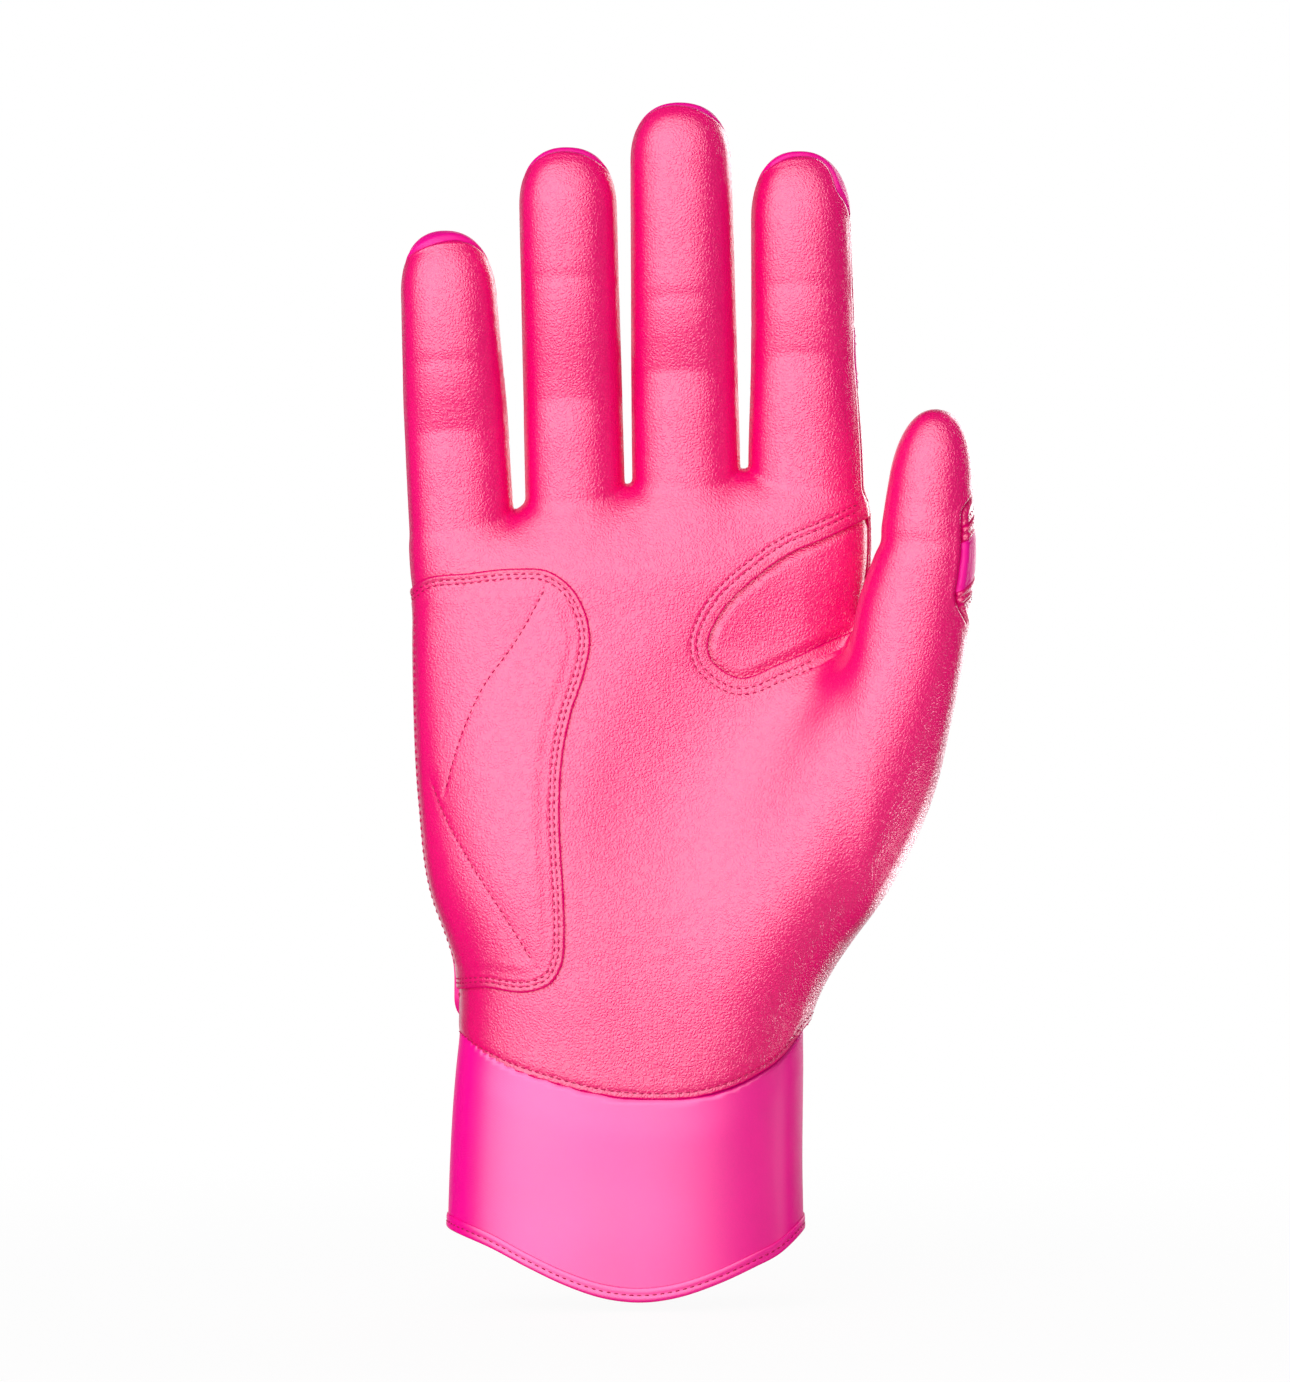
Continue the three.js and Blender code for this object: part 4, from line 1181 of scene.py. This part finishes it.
patch_sheet = trim(front_skin, in_heel, lambda p: -seam_side(p) - 0.7)
patch_sheet = marked(patch_sheet, in_heel, 0.25, 0.5, 0.75, 0.95, 1.2, 1.45, 1.85, 2.1, 2.35)
patch = dressed("heel_patch", patch_sheet, palm_skin, relief=patch_relief, base=patch_base)
pad_sheet = trim(patch_sheet, lambda p: pad_share(p) - 0.08)
pad = dressed("heel_pad", pad_sheet, foam, relief=lambda p: patch_base(p) - 0.02, base=level(0.03))

for piece, slot in ((palm, "leather"), (inset, "leather"), (patch, "leather"), (pad, "foam")):
    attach(piece, "hand")
    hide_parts(piece.name.removeprefix(SEWN))
print("palm faces:", len(palm.data.polygons), "patch faces:", len(patch.data.polygons))

# %% [markdown]
# ## Fingers
# Each finger stall has a palm side, a back and a cap folded over the tip, and a ribbed stretch insert
# over the middle knuckle. Nothing on a glove hinges: leather bends over a stretch of a centimetre or so.
# So a piece that lies across two bodies is left fixed where it is and tied to neither, and the palm side,
# one cut of leather on the real glove, is parted only where both neighbours move alike.

# %% Ribs, heights and bends
RIBS = (-4.8, -3.1, 3.1, 4.8)
RIB_HIGH, RIB_HALF, RIB_MARKS = 0.6, 0.5, (-0.6, -0.3, 0.0, 0.3, 0.6)


def ribbed(ribs, high, distance):
    return sum(high * np.exp(-(((distance - rib) / RIB_HALF) ** 2)) for rib in ribs)


def rib_levels(ribs):
    return [rib + mark for rib in ribs for mark in RIB_MARKS]


def height_rule(low, high=None):
    if high is None:
        return lambda p: p[:, 2] - low
    return lambda p: np.minimum(p[:, 2] - low, high - p[:, 2])


def off_side(p):
    return seam_side(p) - 3.0


def set_piece(piece, nodes, bodies):
    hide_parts(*nodes)
    bend_piece(piece, bodies)


def bend_piece(piece, bodies):
    if len(bodies) == 1:
        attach(piece, bodies[0])
    else:
        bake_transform(piece)


print("ribs on an insert:", len(RIBS))

# %% Finger pieces
BEND, CURL = 14.0, 15.0  # lengths at the root and at the middle of a finger, listed beside the bodies of a piece
INSERT_SWELL, CAP_SWELL = 0.2, 0.25
BACK_ROW = 1.3  # the rows on the back of a finger, from the edge of the leather
CREASES = {"lower_front": "base_crease", "upper_front": "middle_crease"}  # a front stands for its crease too


def finger_pieces(name):
    own, cut = FINGERS[name], cuts[name]
    fold, over, cap = own.middle - KNUCKLE_LOW, own.middle + KNUCKLE_HIGH, own.tip - CAP
    half_way = (fold + over) / 2
    lower = (["hand", name + "_lower"], [(0, 0, cut), (0, 0, min(cut + BEND, fold))])
    upper = ([name + "_lower", name + "_upper"], [(0, 0, fold), (0, 0, fold + CURL)])
    end = ([name + "_upper"], None)

    def in_finger(p):
        return finger_zone(name, p, cut)

    def rear_relief(p):
        heights = (fold - BACK_ROW, over + BACK_ROW, cap - BACK_ROW)
        return seam_relief(p) + sum(channel(p[:, 2] - at, FIRM_ROW_DEEP) for at in heights)

    def insert_relief(p):
        middle_of_back = ease((seam_side(p) - 1.5) / 4)
        return seam_relief(p) + middle_of_back * (INSERT_SWELL + ribbed(RIBS, RIB_HIGH, p[:, 2] - half_way))

    def cap_relief(p):
        rise = ease((p[:, 2] - own.tip + CAP) / 0.8)
        return seam_relief(p) + CAP_SWELL * rise * ease((seam_side(p) - 1) / 4)

    front, rear = trim(front_skin, in_finger), trim(rear_skin, in_finger)
    leather, backing = (palm_skin, "leather", leather_relief), (back_skin, "backing", rear_relief)
    insert, tip = (bright, "stretch", insert_relief), (bright, "stretch", cap_relief)
    plan = {
        "lower_front": (trim(front, height_rule(0, fold)), leather, lower),
        "upper_front": (trim(front, height_rule(fold)), leather, upper),
        "lower_back": (trim(rear, height_rule(0, fold)), backing, lower),
        "knuckle_insert": (trim(rear, height_rule(fold, over)), insert, upper),
        "upper_back": (trim(rear, height_rule(over, cap)), backing, upper),
        "tip_cap": (trim(rear, height_rule(cap)), tip, end)}
    for part, (sheet, (material, slot, relief), (bodies, zone)) in plan.items():
        if part == "knuckle_insert":
            sheet = marked(sheet, height_rule(0), *rib_levels([half_way + rib for rib in RIBS]))
        whole = joins_on if "front" in part else at_fingers
        piece = dressed(f"{name}_{part}", sheet, material, LEATHER, relief, joined=whole)
        nodes = [CREASES[part], part] if part in CREASES else [part]
        set_piece(piece, [f"{name}_{node}" for node in nodes], bodies)
    sewn_rows = {"lower": (fold - BACK_ROW,), "upper": (over + BACK_ROW, cap - BACK_ROW)}
    for part, heights in sewn_rows.items():
        sheet, _, (bodies, zone) = plan[part + "_back"]
        lines = only(rows(sheet, height_rule(0), *heights), off_side)
        sewn = stitch_mesh(f"{name}_{part}_thread", lines, rear_relief)
        bend_piece(sewn, bodies)
    return list(plan)


for finger in ORDER:
    print(finger, finger_pieces(finger))

# %% [markdown]
# ## Thumb
# The thumb's leather goes on from the palm. Its back carries a wide stretch insert with two pairs of
# ribs, laid at a slant, so the picture shows its edge along the right side. The ribs are covered with
# leather and the flat between them with stretch cloth, so they are cut as two pieces. The back leather
# goes on above the insert.

# %% Thumb pieces
INSERT_LOW, INSERT_HIGH, FLAT_HALF = 143.0, 159.8, 5.1
INSERT_ROW = 1.4  # the rows above and below the insert, from its edges
THUMB_RIBS, THUMB_RIB_HIGH = (143.9, 145.6, 157.2, 158.9), 0.4
thumb_bodies = ["hand", "thumb_tip"]


def slant(p):
    return p[:, 2] - 0.5 * behind_thumb(p)


def thumb_insert_relief(p):
    q = slant(p)
    swell = INSERT_SWELL * ease((q - INSERT_LOW - 3) / 2) * ease((INSERT_HIGH - 3 - q) / 2)
    return seam_relief(p) + swell + ribbed(THUMB_RIBS, THUMB_RIB_HIGH, q)


def thumb_back_relief(p):
    return seam_relief(p) + channel(slant(p) - INSERT_HIGH - INSERT_ROW, FIRM_ROW_DEEP)


def off_middle(p):
    return np.abs(slant(p) - (INSERT_LOW + INSERT_HIGH) / 2)


thumb_front = trim(front_skin, in_thumb)
thumb_rear = trim(rear_skin, beside_thumb, lambda p: slant(p) - INSERT_LOW)
insert_sheet = trim(thumb_rear, lambda p: INSERT_HIGH - slant(p))
insert_sheet = marked(insert_sheet, slant, *rib_levels(THUMB_RIBS))
flat_sheet = trim(insert_sheet, lambda p: FLAT_HALF - off_middle(p))
rib_sheet = trim(insert_sheet, lambda p: off_middle(p) - FLAT_HALF)
tip_sheet = trim(thumb_rear, lambda p: slant(p) - INSERT_HIGH)
thumb_plan = (
    ("thumb_tip_front", thumb_front, palm_skin, "leather", leather_relief,
     ["thumb_crease", "thumb_tip_front"]),
    ("thumb_insert", flat_sheet, bright, "stretch", thumb_insert_relief, ["thumb_insert"]),
    ("thumb_ribs", rib_sheet, back_skin, "backing", thumb_insert_relief, ["thumb_insert"]),
    ("thumb_tip_back", tip_sheet, back_skin, "backing", thumb_back_relief, ["thumb_tip_back"]))
for name, sheet, material, slot, relief, nodes in thumb_plan:
    whole = joins_on if slot == "leather" else None
    piece = dressed(name, sheet, material, LEATHER, relief, joined=whole)
    set_piece(piece, nodes, thumb_bodies)
    print(name, "faces:", len(piece.data.polygons))
thumb_rows = rows(tip_sheet, slant, INSERT_HIGH + INSERT_ROW)
thumb_thread = stitch_mesh("thumb_thread", thumb_rows, thumb_back_relief)
bend_piece(thumb_thread, thumb_bodies)

# %% [markdown]
# ## Back of the hand
# The back is the same thin leather, with a V-shaped vent above the wrist so that a hand can get in. A
# soft gusset lies under the vent. The picture doesn't show this side, so it is kept plain: the skin
# behind the side seam is cut along the vent and the wrist, and each cut edge gets a row of stitches.

# %% Back panel and vent
VENT_X, VENT_LOW, VENT_TOP, GUSSET_LOW = 8.0, 54.5, 92.0, 60.3
VENT_HALF, VENT_TAPER, VENT_ROUND = 8.0, 4.0, 4.4
BACK_EDGE_ROW, VENT_ROW, BACK_EDGE_FALL, GUSSET = 1.5, 1.4, 0.35, 0.7


def in_vent(p):
    x, y, z = p.T
    half = VENT_HALF - VENT_TAPER * np.clip((z - VENT_LOW) / (VENT_TOP - VENT_LOW), 0, 1)
    body = half - np.abs(x - VENT_X)
    top = VENT_ROUND - np.hypot(x - VENT_X, z - VENT_TOP + VENT_ROUND)
    return np.where(y < 0, OUTSIDE, np.where(z > VENT_TOP - VENT_ROUND, top, body))


def off_insert(p):
    return -np.minimum(beside_thumb(p), slant(p) - INSERT_LOW)


def back_edge(x):
    return VENT_LOW + 1.8 * ease((np.abs(x) - 27) / 9)


def above_back_edge(p):
    return p[:, 2] - back_edge(p[:, 0])


def panel_relief(p):
    low = above_back_edge(p)
    ends = channel(low - BACK_EDGE_ROW, FIRM_ROW_DEEP) + channel(in_vent(p) + VENT_ROW, FIRM_ROW_DEEP)
    ends = ends - BACK_EDGE_FALL * ease((EDGE_WIDE - low) / EDGE_WIDE)
    beside_insert = channel(slant(p) - INSERT_LOW + INSERT_ROW, FIRM_ROW_DEEP)
    return seam_relief(p) + ends + np.where(p[:, 0] > 48, beside_insert, 0)


def gusset_relief(p):
    return -1.2 + 0.4 * ease(in_vent(p) / 2.5)


open_back = trim(rear_skin, off_fingers, off_insert, above_back_edge)
panel_sheet = trim(marked(open_back, in_vent, -1.1, -1.4, -1.7), lambda p: -in_vent(p))
panel = dressed("back_panel", panel_sheet, back_skin, LEATHER, panel_relief, joined=at_fingers)
gusset_sheet = trim(open_back, lambda p: in_vent(p) + 2.0, height_rule(GUSSET_LOW))
gusset = dressed("vent_gusset", gusset_sheet, bright, GUSSET, gusset_relief)
panel_rows = rows(panel_sheet, above_back_edge, BACK_EDGE_ROW) + rows(panel_sheet, in_vent, -VENT_ROW)
panel_rows += only(rows(panel_sheet, slant, INSERT_LOW - INSERT_ROW), lambda p: p[:, 0] - 52)
panel_thread = stitch_mesh("back_thread", only(panel_rows, off_side), panel_relief)
for piece, slot in ((panel, "backing"), (gusset, "stretch"), (panel_thread, "backing")):
    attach(piece, "hand")
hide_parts("back_panel")
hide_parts("vent_gusset")
print("back panel faces:", len(panel.data.polygons))

# %% [markdown]
# ## Stitching on the palm
# Two rows hold the heel patch and a third runs beside its seam side. Two more go along the edge of the
# web window, one along the lower edge, and a short one beside the wrist. These are level lines of the cut
# sheets. The two quilting rows follow no edge, so they are drawn across the patch from the front.

# %% Palm stitching
VALLEY_Z, VALLEY_X = [134.0, 141.0, 148.0, 156.0, 166.0], [41.0, 43.0, 46.5, 48.6, 49.2]
LOW_SIDE_ROW = 1.9


def left_of_valley(p):
    return curve(p[:, 2], VALLEY_Z, VALLEY_X) - p[:, 0]


def low_on_the_left(p):
    return np.where(p[:, 0] > 0, -1.0, np.minimum(p[:, 2] - 60, 96 - p[:, 2]))


heel_rows = rows(patch_sheet, in_heel, *HEEL_ROWS)
heel_rows += [from_front(line_through(line, 0.5)) for line in QUILT]
heel_rows += only(rows(patch_sheet, seam_side, -SIDE_ROW), lambda p: in_heel(p) - 3)
heel_thread = stitch_mesh("heel_thread", heel_rows, patch_relief)
web_rows = only(rows(palm_sheet, web_side, *[-row for row in WEB_ROWS]), left_of_valley)
web_thread = stitch_mesh("web_thread", web_rows, leather_relief)
edge_thread = stitch_mesh("edge_thread", rows(palm_sheet, above_edge, EDGE_ROW), leather_relief)
side_rows = only(rows(palm_sheet, seam_side, -LOW_SIDE_ROW), low_on_the_left)
side_thread = stitch_mesh("side_thread", side_rows, leather_relief)
for piece in (heel_thread, web_thread, edge_thread, side_thread):
    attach(piece, "hand")
print("heel stitches:", len(heel_thread.data.vertices) // (RINGS * SIDES))

# %% [markdown]
# ## Cuff and hem
# The cuff is a sleeve of 2 mm neoprene in two halves. Its top goes under the leather, so it is drawn in
# there and comes out to full width a few millimetres below the leather's edge. Its lower edge is bound: a
# folded strip goes round it and is sewn through. The cuff could be cut from the field too, but it is a
# plain oval, so an even grid follows its hem better. The strip is one section swept along the hem.

# %% Cuff
CUFF_Z = [0.0, 15.5, 28.0, 40.7, 49.0, 62.0]
CUFF_LEFT = [-37.4, -37.4, -37.0, -36.3, -35.6, -34.6]
CUFF_RIGHT = [37.4, 37.3, 37.1, 37.2, 37.3, 37.6]
CUFF_DEEP, CUFF_HALF, CUFF_THICK, CUFF_TOP, CUFF_SQUARE = 21.2, 37.3, 2.0, 59.0, 2.5
HEM_TUCK = 1.3  # how far the cuff's edge lies above the fold of the hem
DRAWN_IN, UNDER_LEATHER = 0.2, 1.2  # the cuff narrows towards the leather's edge, then steps under it
SEAM_NICK, SEAM_NICK_HALF, RIPPLE, RIPPLE_LONG = 0.25, 0.8, 0.05, 4.1
COLUMNS, TIERS = 150, 64
HEM_FRONT = from_picture(
    (448, 1226), (492, 1242), (530, 1261), (567, 1278), (604, 1290), (641, 1294), (679, 1289),
    (716, 1277), (753, 1261), (778, 1249), (806, 1226))
HEM_BACK = np.array([(-37.4, 14.2), (-22.0, 9.8), (0.0, 7.5), (22.0, 9.8), (37.6, 14.2)])
BACK_SIGN = {"front": -1, "back": 1}


def sleeve(side, turn, z, out=0.0):
    left, right = curve(z, CUFF_Z, CUFF_LEFT), curve(z, CUFF_Z, CUFF_RIGHT)
    half, power = (right - left) / 2, 2 / CUFF_SQUARE
    c, s = np.cos(turn), np.sin(turn)
    x = (left + right) / 2 - half * np.sign(c) * np.abs(c) ** power
    y = BACK_SIGN[side] * CUFF_DEEP * np.abs(s) ** power
    nx = -np.sign(c) * np.abs(c) ** (2 - power) / half
    ny = BACK_SIGN[side] * np.abs(s) ** (2 - power) / CUFF_DEEP
    far = np.maximum(np.hypot(nx, ny), 1e-9)
    return np.stack([x + out * nx / far, y + out * ny / far, z + 0 * x], -1)


def hem_height(side, x):
    line = HEM_FRONT if side == "front" else HEM_BACK
    return curve(x, line[:, 0], line[:, 1])


def cuff_half(side):
    turn = np.linspace(0.0, math.pi, COLUMNS)
    turn = turn - 0.22 * np.sin(4 * turn) / 4
    x = sleeve(side, turn, np.full(COLUMNS, 20.0))[:, 0]
    low = hem_height(side, x) + HEM_TUCK
    share = np.linspace(0, 1, TIERS)[:, None]
    z = low + (CUFF_TOP - low) * share
    lip = lower_edge(x) if side == "front" else back_edge(x)
    tucked = DRAWN_IN * ease((z - lip + 9) / 9) + UNDER_LEATHER * ease((z - lip + 0.4) / 0.7)
    arc = CUFF_DEEP * np.minimum(turn, math.pi - turn)
    ripple = RIPPLE * np.sin(z / RIPPLE_LONG + 1.4 * np.sin(3 * turn)) * np.sin(turn) ** 2
    out = ripple - tucked - SEAM_NICK * np.exp(-((arc / SEAM_NICK_HALF) ** 2))
    points = sleeve(side, np.broadcast_to(turn, z.shape), z, out).reshape(-1, 3)
    index = np.arange(TIERS * COLUMNS).reshape(TIERS, COLUMNS)
    a, b, c, d = (v.ravel() for v in (index[:-1, :-1], index[:-1, 1:], index[1:, 1:], index[1:, :-1]))
    faces = np.concatenate([np.stack([a, b, c], 1), np.stack([a, c, d], 1)])
    faces = faces if side == "front" else faces[:, ::-1]
    return closed_sheet("cuff_" + side, points, faces, face_normals(points, faces), CUFF_THICK, neoprene)


print("cuff grid:", COLUMNS, "by", TIERS)

# %% Hem and its stitches
# section of the folded binding: outwards from the cuff's face, and up from the fold
HEM_SHAPE = [
    (-2.7, 2.9), (-2.7, 0.4), (-2.3, 0.0), (-1.0, -0.15), (0.1, 0.0), (0.32, 0.3), (0.36, 0.7), (0.32, 1.1),
    (0.22, 1.45), (0.3, 1.8), (0.32, 2.2), (0.27, 2.6), (0.16, 2.9), (0.06, 2.95), (0.06, 1.1),
    (-2.06, 1.1), (-2.06, 2.9)]
HEM_ROW = 1.45


def hem_half(side):
    turn = np.linspace(0.0, math.pi, COLUMNS)
    x = sleeve(side, turn, np.full(COLUMNS, 12.0))[:, 0]
    low = hem_height(side, x)
    points = np.stack([sleeve(side, turn, low + up, out) for out, up in HEM_SHAPE], 1)
    count = len(HEM_SHAPE)
    faces = []
    for k in range(count):
        a = np.arange(COLUMNS - 1) * count + k
        b = np.arange(COLUMNS - 1) * count + (k + 1) % count
        faces += [np.stack([a, a + count, b + count], 1), np.stack([a, b + count, b], 1)]
    lid = np.array(tessellate_polygon([[Vector((r, h, 0)) for r, h in HEM_SHAPE]]))
    faces += [lid, lid[:, ::-1] + (COLUMNS - 1) * count]
    faces = np.concatenate(faces)
    if side == "front":
        faces = faces[:, ::-1]
    return mesh_object(SEWN + "hem_" + side, points.reshape(-1, 3), faces, None, neoprene)


def hem_row(side):
    turn = np.linspace(0.03, math.pi - 0.03, 300)
    x = sleeve(side, turn, np.full(300, 12.0))[:, 0]
    return sleeve(side, turn, hem_height(side, x) + HEM_ROW, 0.2)


def sleeve_normals(p):
    middle = (curve(p[:, 2], CUFF_Z, CUFF_LEFT) + curve(p[:, 2], CUFF_Z, CUFF_RIGHT)) / 2
    u, v = (p[:, 0] - middle) / CUFF_HALF, p[:, 1] / CUFF_DEEP
    nx = np.sign(u) * np.abs(u) ** (CUFF_SQUARE - 1) / CUFF_HALF
    ny = np.sign(v) * np.abs(v) ** (CUFF_SQUARE - 1) / CUFF_DEEP
    return unit(np.stack([nx, ny, 0 * u], 1))


for side in BACK_SIGN:
    cuff, hem = cuff_half(side), hem_half(side)
    sewn = stitch_mesh(f"hem_{side}_thread", [hem_row(side)], level(0.0), sleeve_normals)
    for piece in (cuff, hem, sewn):
        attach(piece, "hand")
    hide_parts("cuff_" + side)
    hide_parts("hem_" + side)
    print(side, "cuff faces:", len(cuff.data.polygons))

# %% [markdown]
# ## Closure strap
# The strap is sewn down on the thumb side of the back and closes towards the little finger, where its end
# just shows at the edge of the picture. Loop tape is sewn to the back, hook tape to the strap's
# underside. A real strap has no hinge: the first centimetre beside its sewn end bends. Here the strap and
# its stitches are left fixed and tied to no body, while the hook tape goes with the strap's own body.

# %% Strap and tapes
STRAP_MIDDLE, STRAP_HALF, STRAP_ROOT, STRAP_END, CORNER = 67.0, 10.0, 23.5, 8.0, 5.0
STRAP_ROW, STRAP_ROW_DEEP = 1.7, 0.15
ANCHOR_LEFT, ANCHOR_RIGHT, ANCHOR_CORNER = 23.8, 33.8, 2.0
HOOK_RIGHT, LOOP_RIGHT, TAPE_MARGIN, TAPE_CORNER = -8.0, -3.0, 1.6, 4.0
# heights of lower and upper faces over the skin, from the loop tape to the strap
LOOP_LOW, LOOP_HIGH, HOOK_LOW, HOOK_HIGH = 0.15, 0.8, 0.85, 1.4
STRAP_LOW, STRAP_HIGH, ANCHOR_HIGH = 1.45, 2.9, 2.3


def band(p, right, margin=0.0, corner=CORNER):
    x, y, z = p.T
    across = STRAP_HALF - margin - np.abs(z - STRAP_MIDDLE)
    end = np.where(x < -20, y - STRAP_END - margin, 30.0)
    rounded = corner - np.hypot(np.maximum(corner - across, 0), np.maximum(corner - end, 0))
    return np.minimum(np.minimum(rounded, right - x), np.where(y > 0, 30.0, -30.0))


def in_strap(p):
    return band(p, STRAP_ROOT)


def strap_relief(p):
    d = in_strap(p)
    return STRAP_HIGH + 0.25 * ease(d / 0.6) + channel(d - STRAP_ROW, STRAP_ROW_DEEP)


def anchor_band(p):
    return band(p, ANCHOR_RIGHT, 0.0, ANCHOR_CORNER)


def past_root(p):
    return p[:, 0] - ANCHOR_LEFT


def in_anchor(p):
    return np.minimum(anchor_band(p), past_root(p))


def anchor_relief(p):
    d = in_anchor(p)
    return ANCHOR_HIGH + 0.35 * ease(d / 0.8) + channel(d - STRAP_ROW, STRAP_ROW_DEEP)


strap_sheet = marked(trim(rear_skin, in_strap), in_strap, 0.3, 0.6, 1.4, 1.7, 2.0)
strap = dressed("strap", strap_sheet, bright, relief=strap_relief, base=level(STRAP_LOW))
hook_sheet = trim(rear_skin, lambda p: band(p, HOOK_RIGHT, TAPE_MARGIN, TAPE_CORNER))
hook = dressed("hook_patch", hook_sheet, hooks, relief=level(HOOK_HIGH), base=level(HOOK_LOW))
loop_sheet = trim(rear_skin, lambda p: band(p, LOOP_RIGHT, TAPE_MARGIN, TAPE_CORNER))
loop = dressed("loop_patch", loop_sheet, loops_tape, relief=level(LOOP_HIGH), base=level(LOOP_LOW))
anchor_sheet = trim(rear_skin, anchor_band, past_root)
anchor = dressed("strap_anchor", anchor_sheet, bright, relief=anchor_relief, base=level(LOOP_LOW))
strap_thread = stitch_mesh("strap_thread", rows(strap_sheet, in_strap, STRAP_ROW), strap_relief)
anchor_thread = stitch_mesh("anchor_thread", rows(anchor_sheet, in_anchor, STRAP_ROW), anchor_relief)
for piece, slot in ((strap, "stretch"), (strap_thread, "stretch")):
    bend_piece(piece, ["hand", "strap"])
for piece, body, slot in ((hook, "strap", "tape"), (loop, "hand", "tape"), (anchor, "hand", "stretch"),
                          (anchor_thread, "hand", "stretch")):
    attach(piece, body)
for piece in (strap, hook, loop, anchor):
    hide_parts(piece.name.removeprefix(SEWN))
print("strap faces:", len(strap.data.polygons))

# %% [markdown]
# ## Stage
# The picture is a plain product shot: palm straight to the camera, white all round, one broad soft light
# in front and a little to the left. A weaker fill stands behind, for views of the back. Neither lamp is
# mirrored, and the floor isn't either. Reflections see only a soft bright spot in front, which makes the
# sheen, the white straight behind, which makes the outline pale, and two cards behind on the right, which
# widen that outline. Everything else is dark to them, so the leather's sides stay deep and saturated. For
# plain light the room is brighter on the left. Mirrored lamps could give a sheen too, but then light and
# sheen couldn't be set apart.

# %% Floor and cards
def stage_plane(name, middle, across, up, material):
    middle, across, up = Vector(middle), Vector(across), Vector(up)
    mesh = bpy.data.meshes.new(name)
    corners = [middle - across - up, middle + across - up, middle + across + up, middle - across + up]
    mesh.from_pydata(corners, [], [(0, 1, 2, 3)])
    made = bpy.data.objects.new(name, mesh)
    bpy.context.scene.collection.objects.link(made)
    made.data.materials.append(material)
    return made


def floor_material():
    made, tree, shader = start_material("studio_floor")
    set_values(shader, {"Base Color": (0.9, 0.9, 0.9, 1), "Roughness": 0.8})
    glow = add(tree, "Emission", {"Color": (1, 1, 1, 1), "Strength": 1.0})
    seen = add(tree, "LightPath").outputs["Is Camera Ray"]
    spot = add(tree, "NewGeometry").outputs["Position"]
    away = add(tree, "VectorMath", {0: spot}, operation="LENGTH").outputs["Value"]
    share = maths(tree, "MULTIPLY", seen, spread(tree, away, 0.1, 0.5, 0.94, 1.0))
    matt = tree.nodes["Principled BSDF"].outputs[0]
    mixed = add(tree, "MixShader", {0: share, 1: matt, 2: glow.outputs[0]})
    tree.links.new(mixed.outputs[0], tree.nodes["Material Output"].inputs["Surface"])
    return made


def card_material(glow):
    made, _, shader = start_material("studio_card")
    set_values(shader, {"Emission Color": (1, 1, 1, 1), "Emission Strength": glow})
    set_values(shader, {"Base Color": (0.8, 0.8, 0.8, 1)})
    return made


floor = stage_plane("floor", (0, 1.33, -0.002), (3, 0, 0), (0, 1.68, 0), floor_material())
floor.visible_glossy = False
# name, middle, half width and half height as vectors, glow
CARDS = (("rim_right", (0.4, 0.46, 0.42), (0.16, -0.14, 0.0), (0, 0, 0.34), 3.4),
         ("rim_low", (0.235, 0.23, 0.002), (0.05, 0.0, 0.0), (0, 0.27, 0), 5.0))
for name, middle, across, up, glow in CARDS:
    card = stage_plane(name, middle, across, up, card_material(glow))
    card.visible_camera = card.visible_diffuse = card.visible_shadow = card.visible_transmission = False
print("cards:", [name for name, *_ in CARDS])

# %% World
SOFTBOX, SHEEN = (-0.36, -0.82, 0.45), 3.1  # where the sheen on the leather comes from, and its level
ROOM_LEFT, ROOM_RIGHT = 0.7, 0.24  # how much the room lights the glove from its left and from its right
world = bpy.data.worlds.new("studio")
bpy.context.scene.world = world
world.use_nodes = True
world.cycles.sampling_method = "NONE"
tree = world.node_tree
paths = add(tree, "LightPath").outputs
direction = add(tree, "TexCoord").outputs["Generated"]
towards = add(tree, "SeparateXYZ", {0: direction}).outputs
left_to_right = {"Value": towards["X"], "From Min": -1.0, "To Min": ROOM_LEFT, "To Max": ROOM_RIGHT}
room = add(tree, "MapRange", left_to_right).outputs["Result"]
facing = add(tree, "VectorMath", {0: direction, 1: SOFTBOX}, operation="DOT_PRODUCT").outputs["Value"]
softbox = spread(tree, facing, 0.4, 0.95, 0.0, SHEEN)
mirrored = maths(tree, "ADD", softbox, spread(tree, towards["Y"], 0.8, 0.98))
swing = maths(tree, "MULTIPLY", paths["Is Glossy Ray"], maths(tree, "SUBTRACT", mirrored, room))
strength = maths(tree, "ADD", room, swing)
clear = maths(tree, "MAXIMUM", paths["Is Camera Ray"], paths["Is Transmission Ray"])
backdrop = tree.nodes["Background"]
backdrop.inputs["Color"].default_value = (1, 1, 1, 1)
tree.links.new(maths(tree, "MAXIMUM", strength, clear), backdrop.inputs["Strength"])
print("world nodes:", len(tree.nodes))

# %% Lights and camera
def soft_light(name, place, aim, size, power):
    lamp = bpy.data.lights.new(name, "AREA")
    lamp.shape, lamp.size, lamp.energy = "DISK", size, power
    made = bpy.data.objects.new(name, lamp)
    made.location = place
    made.rotation_euler = (Vector(aim) - Vector(place)).to_track_quat("-Z", "Y").to_euler()
    made.visible_glossy = False
    bpy.context.scene.collection.objects.link(made)


AIM = (0.0, 0.0, 0.13)  # the middle of the glove
soft_light("key", (-0.42, -1.75, 0.45), AIM, 2.3, 31.0)
soft_light("fill", (0.45, 2.0, 0.6), AIM, 1.6, 17.0)
camera = bpy.data.cameras.new("camera")
camera.lens, camera.sensor_width = 186.0, 36.0
camera_object = bpy.data.objects.new("camera", camera)
camera_object.location = (0.00399, -1.5, 0.12663)
camera_object.rotation_euler = (math.pi / 2, 0, 0)
bpy.context.scene.collection.objects.link(camera_object)
bpy.context.scene.camera = camera_object
bpy.context.scene.view_settings.view_transform = "Standard"
print("lights:", len(bpy.data.lights), "camera lens:", camera.lens, "mm")
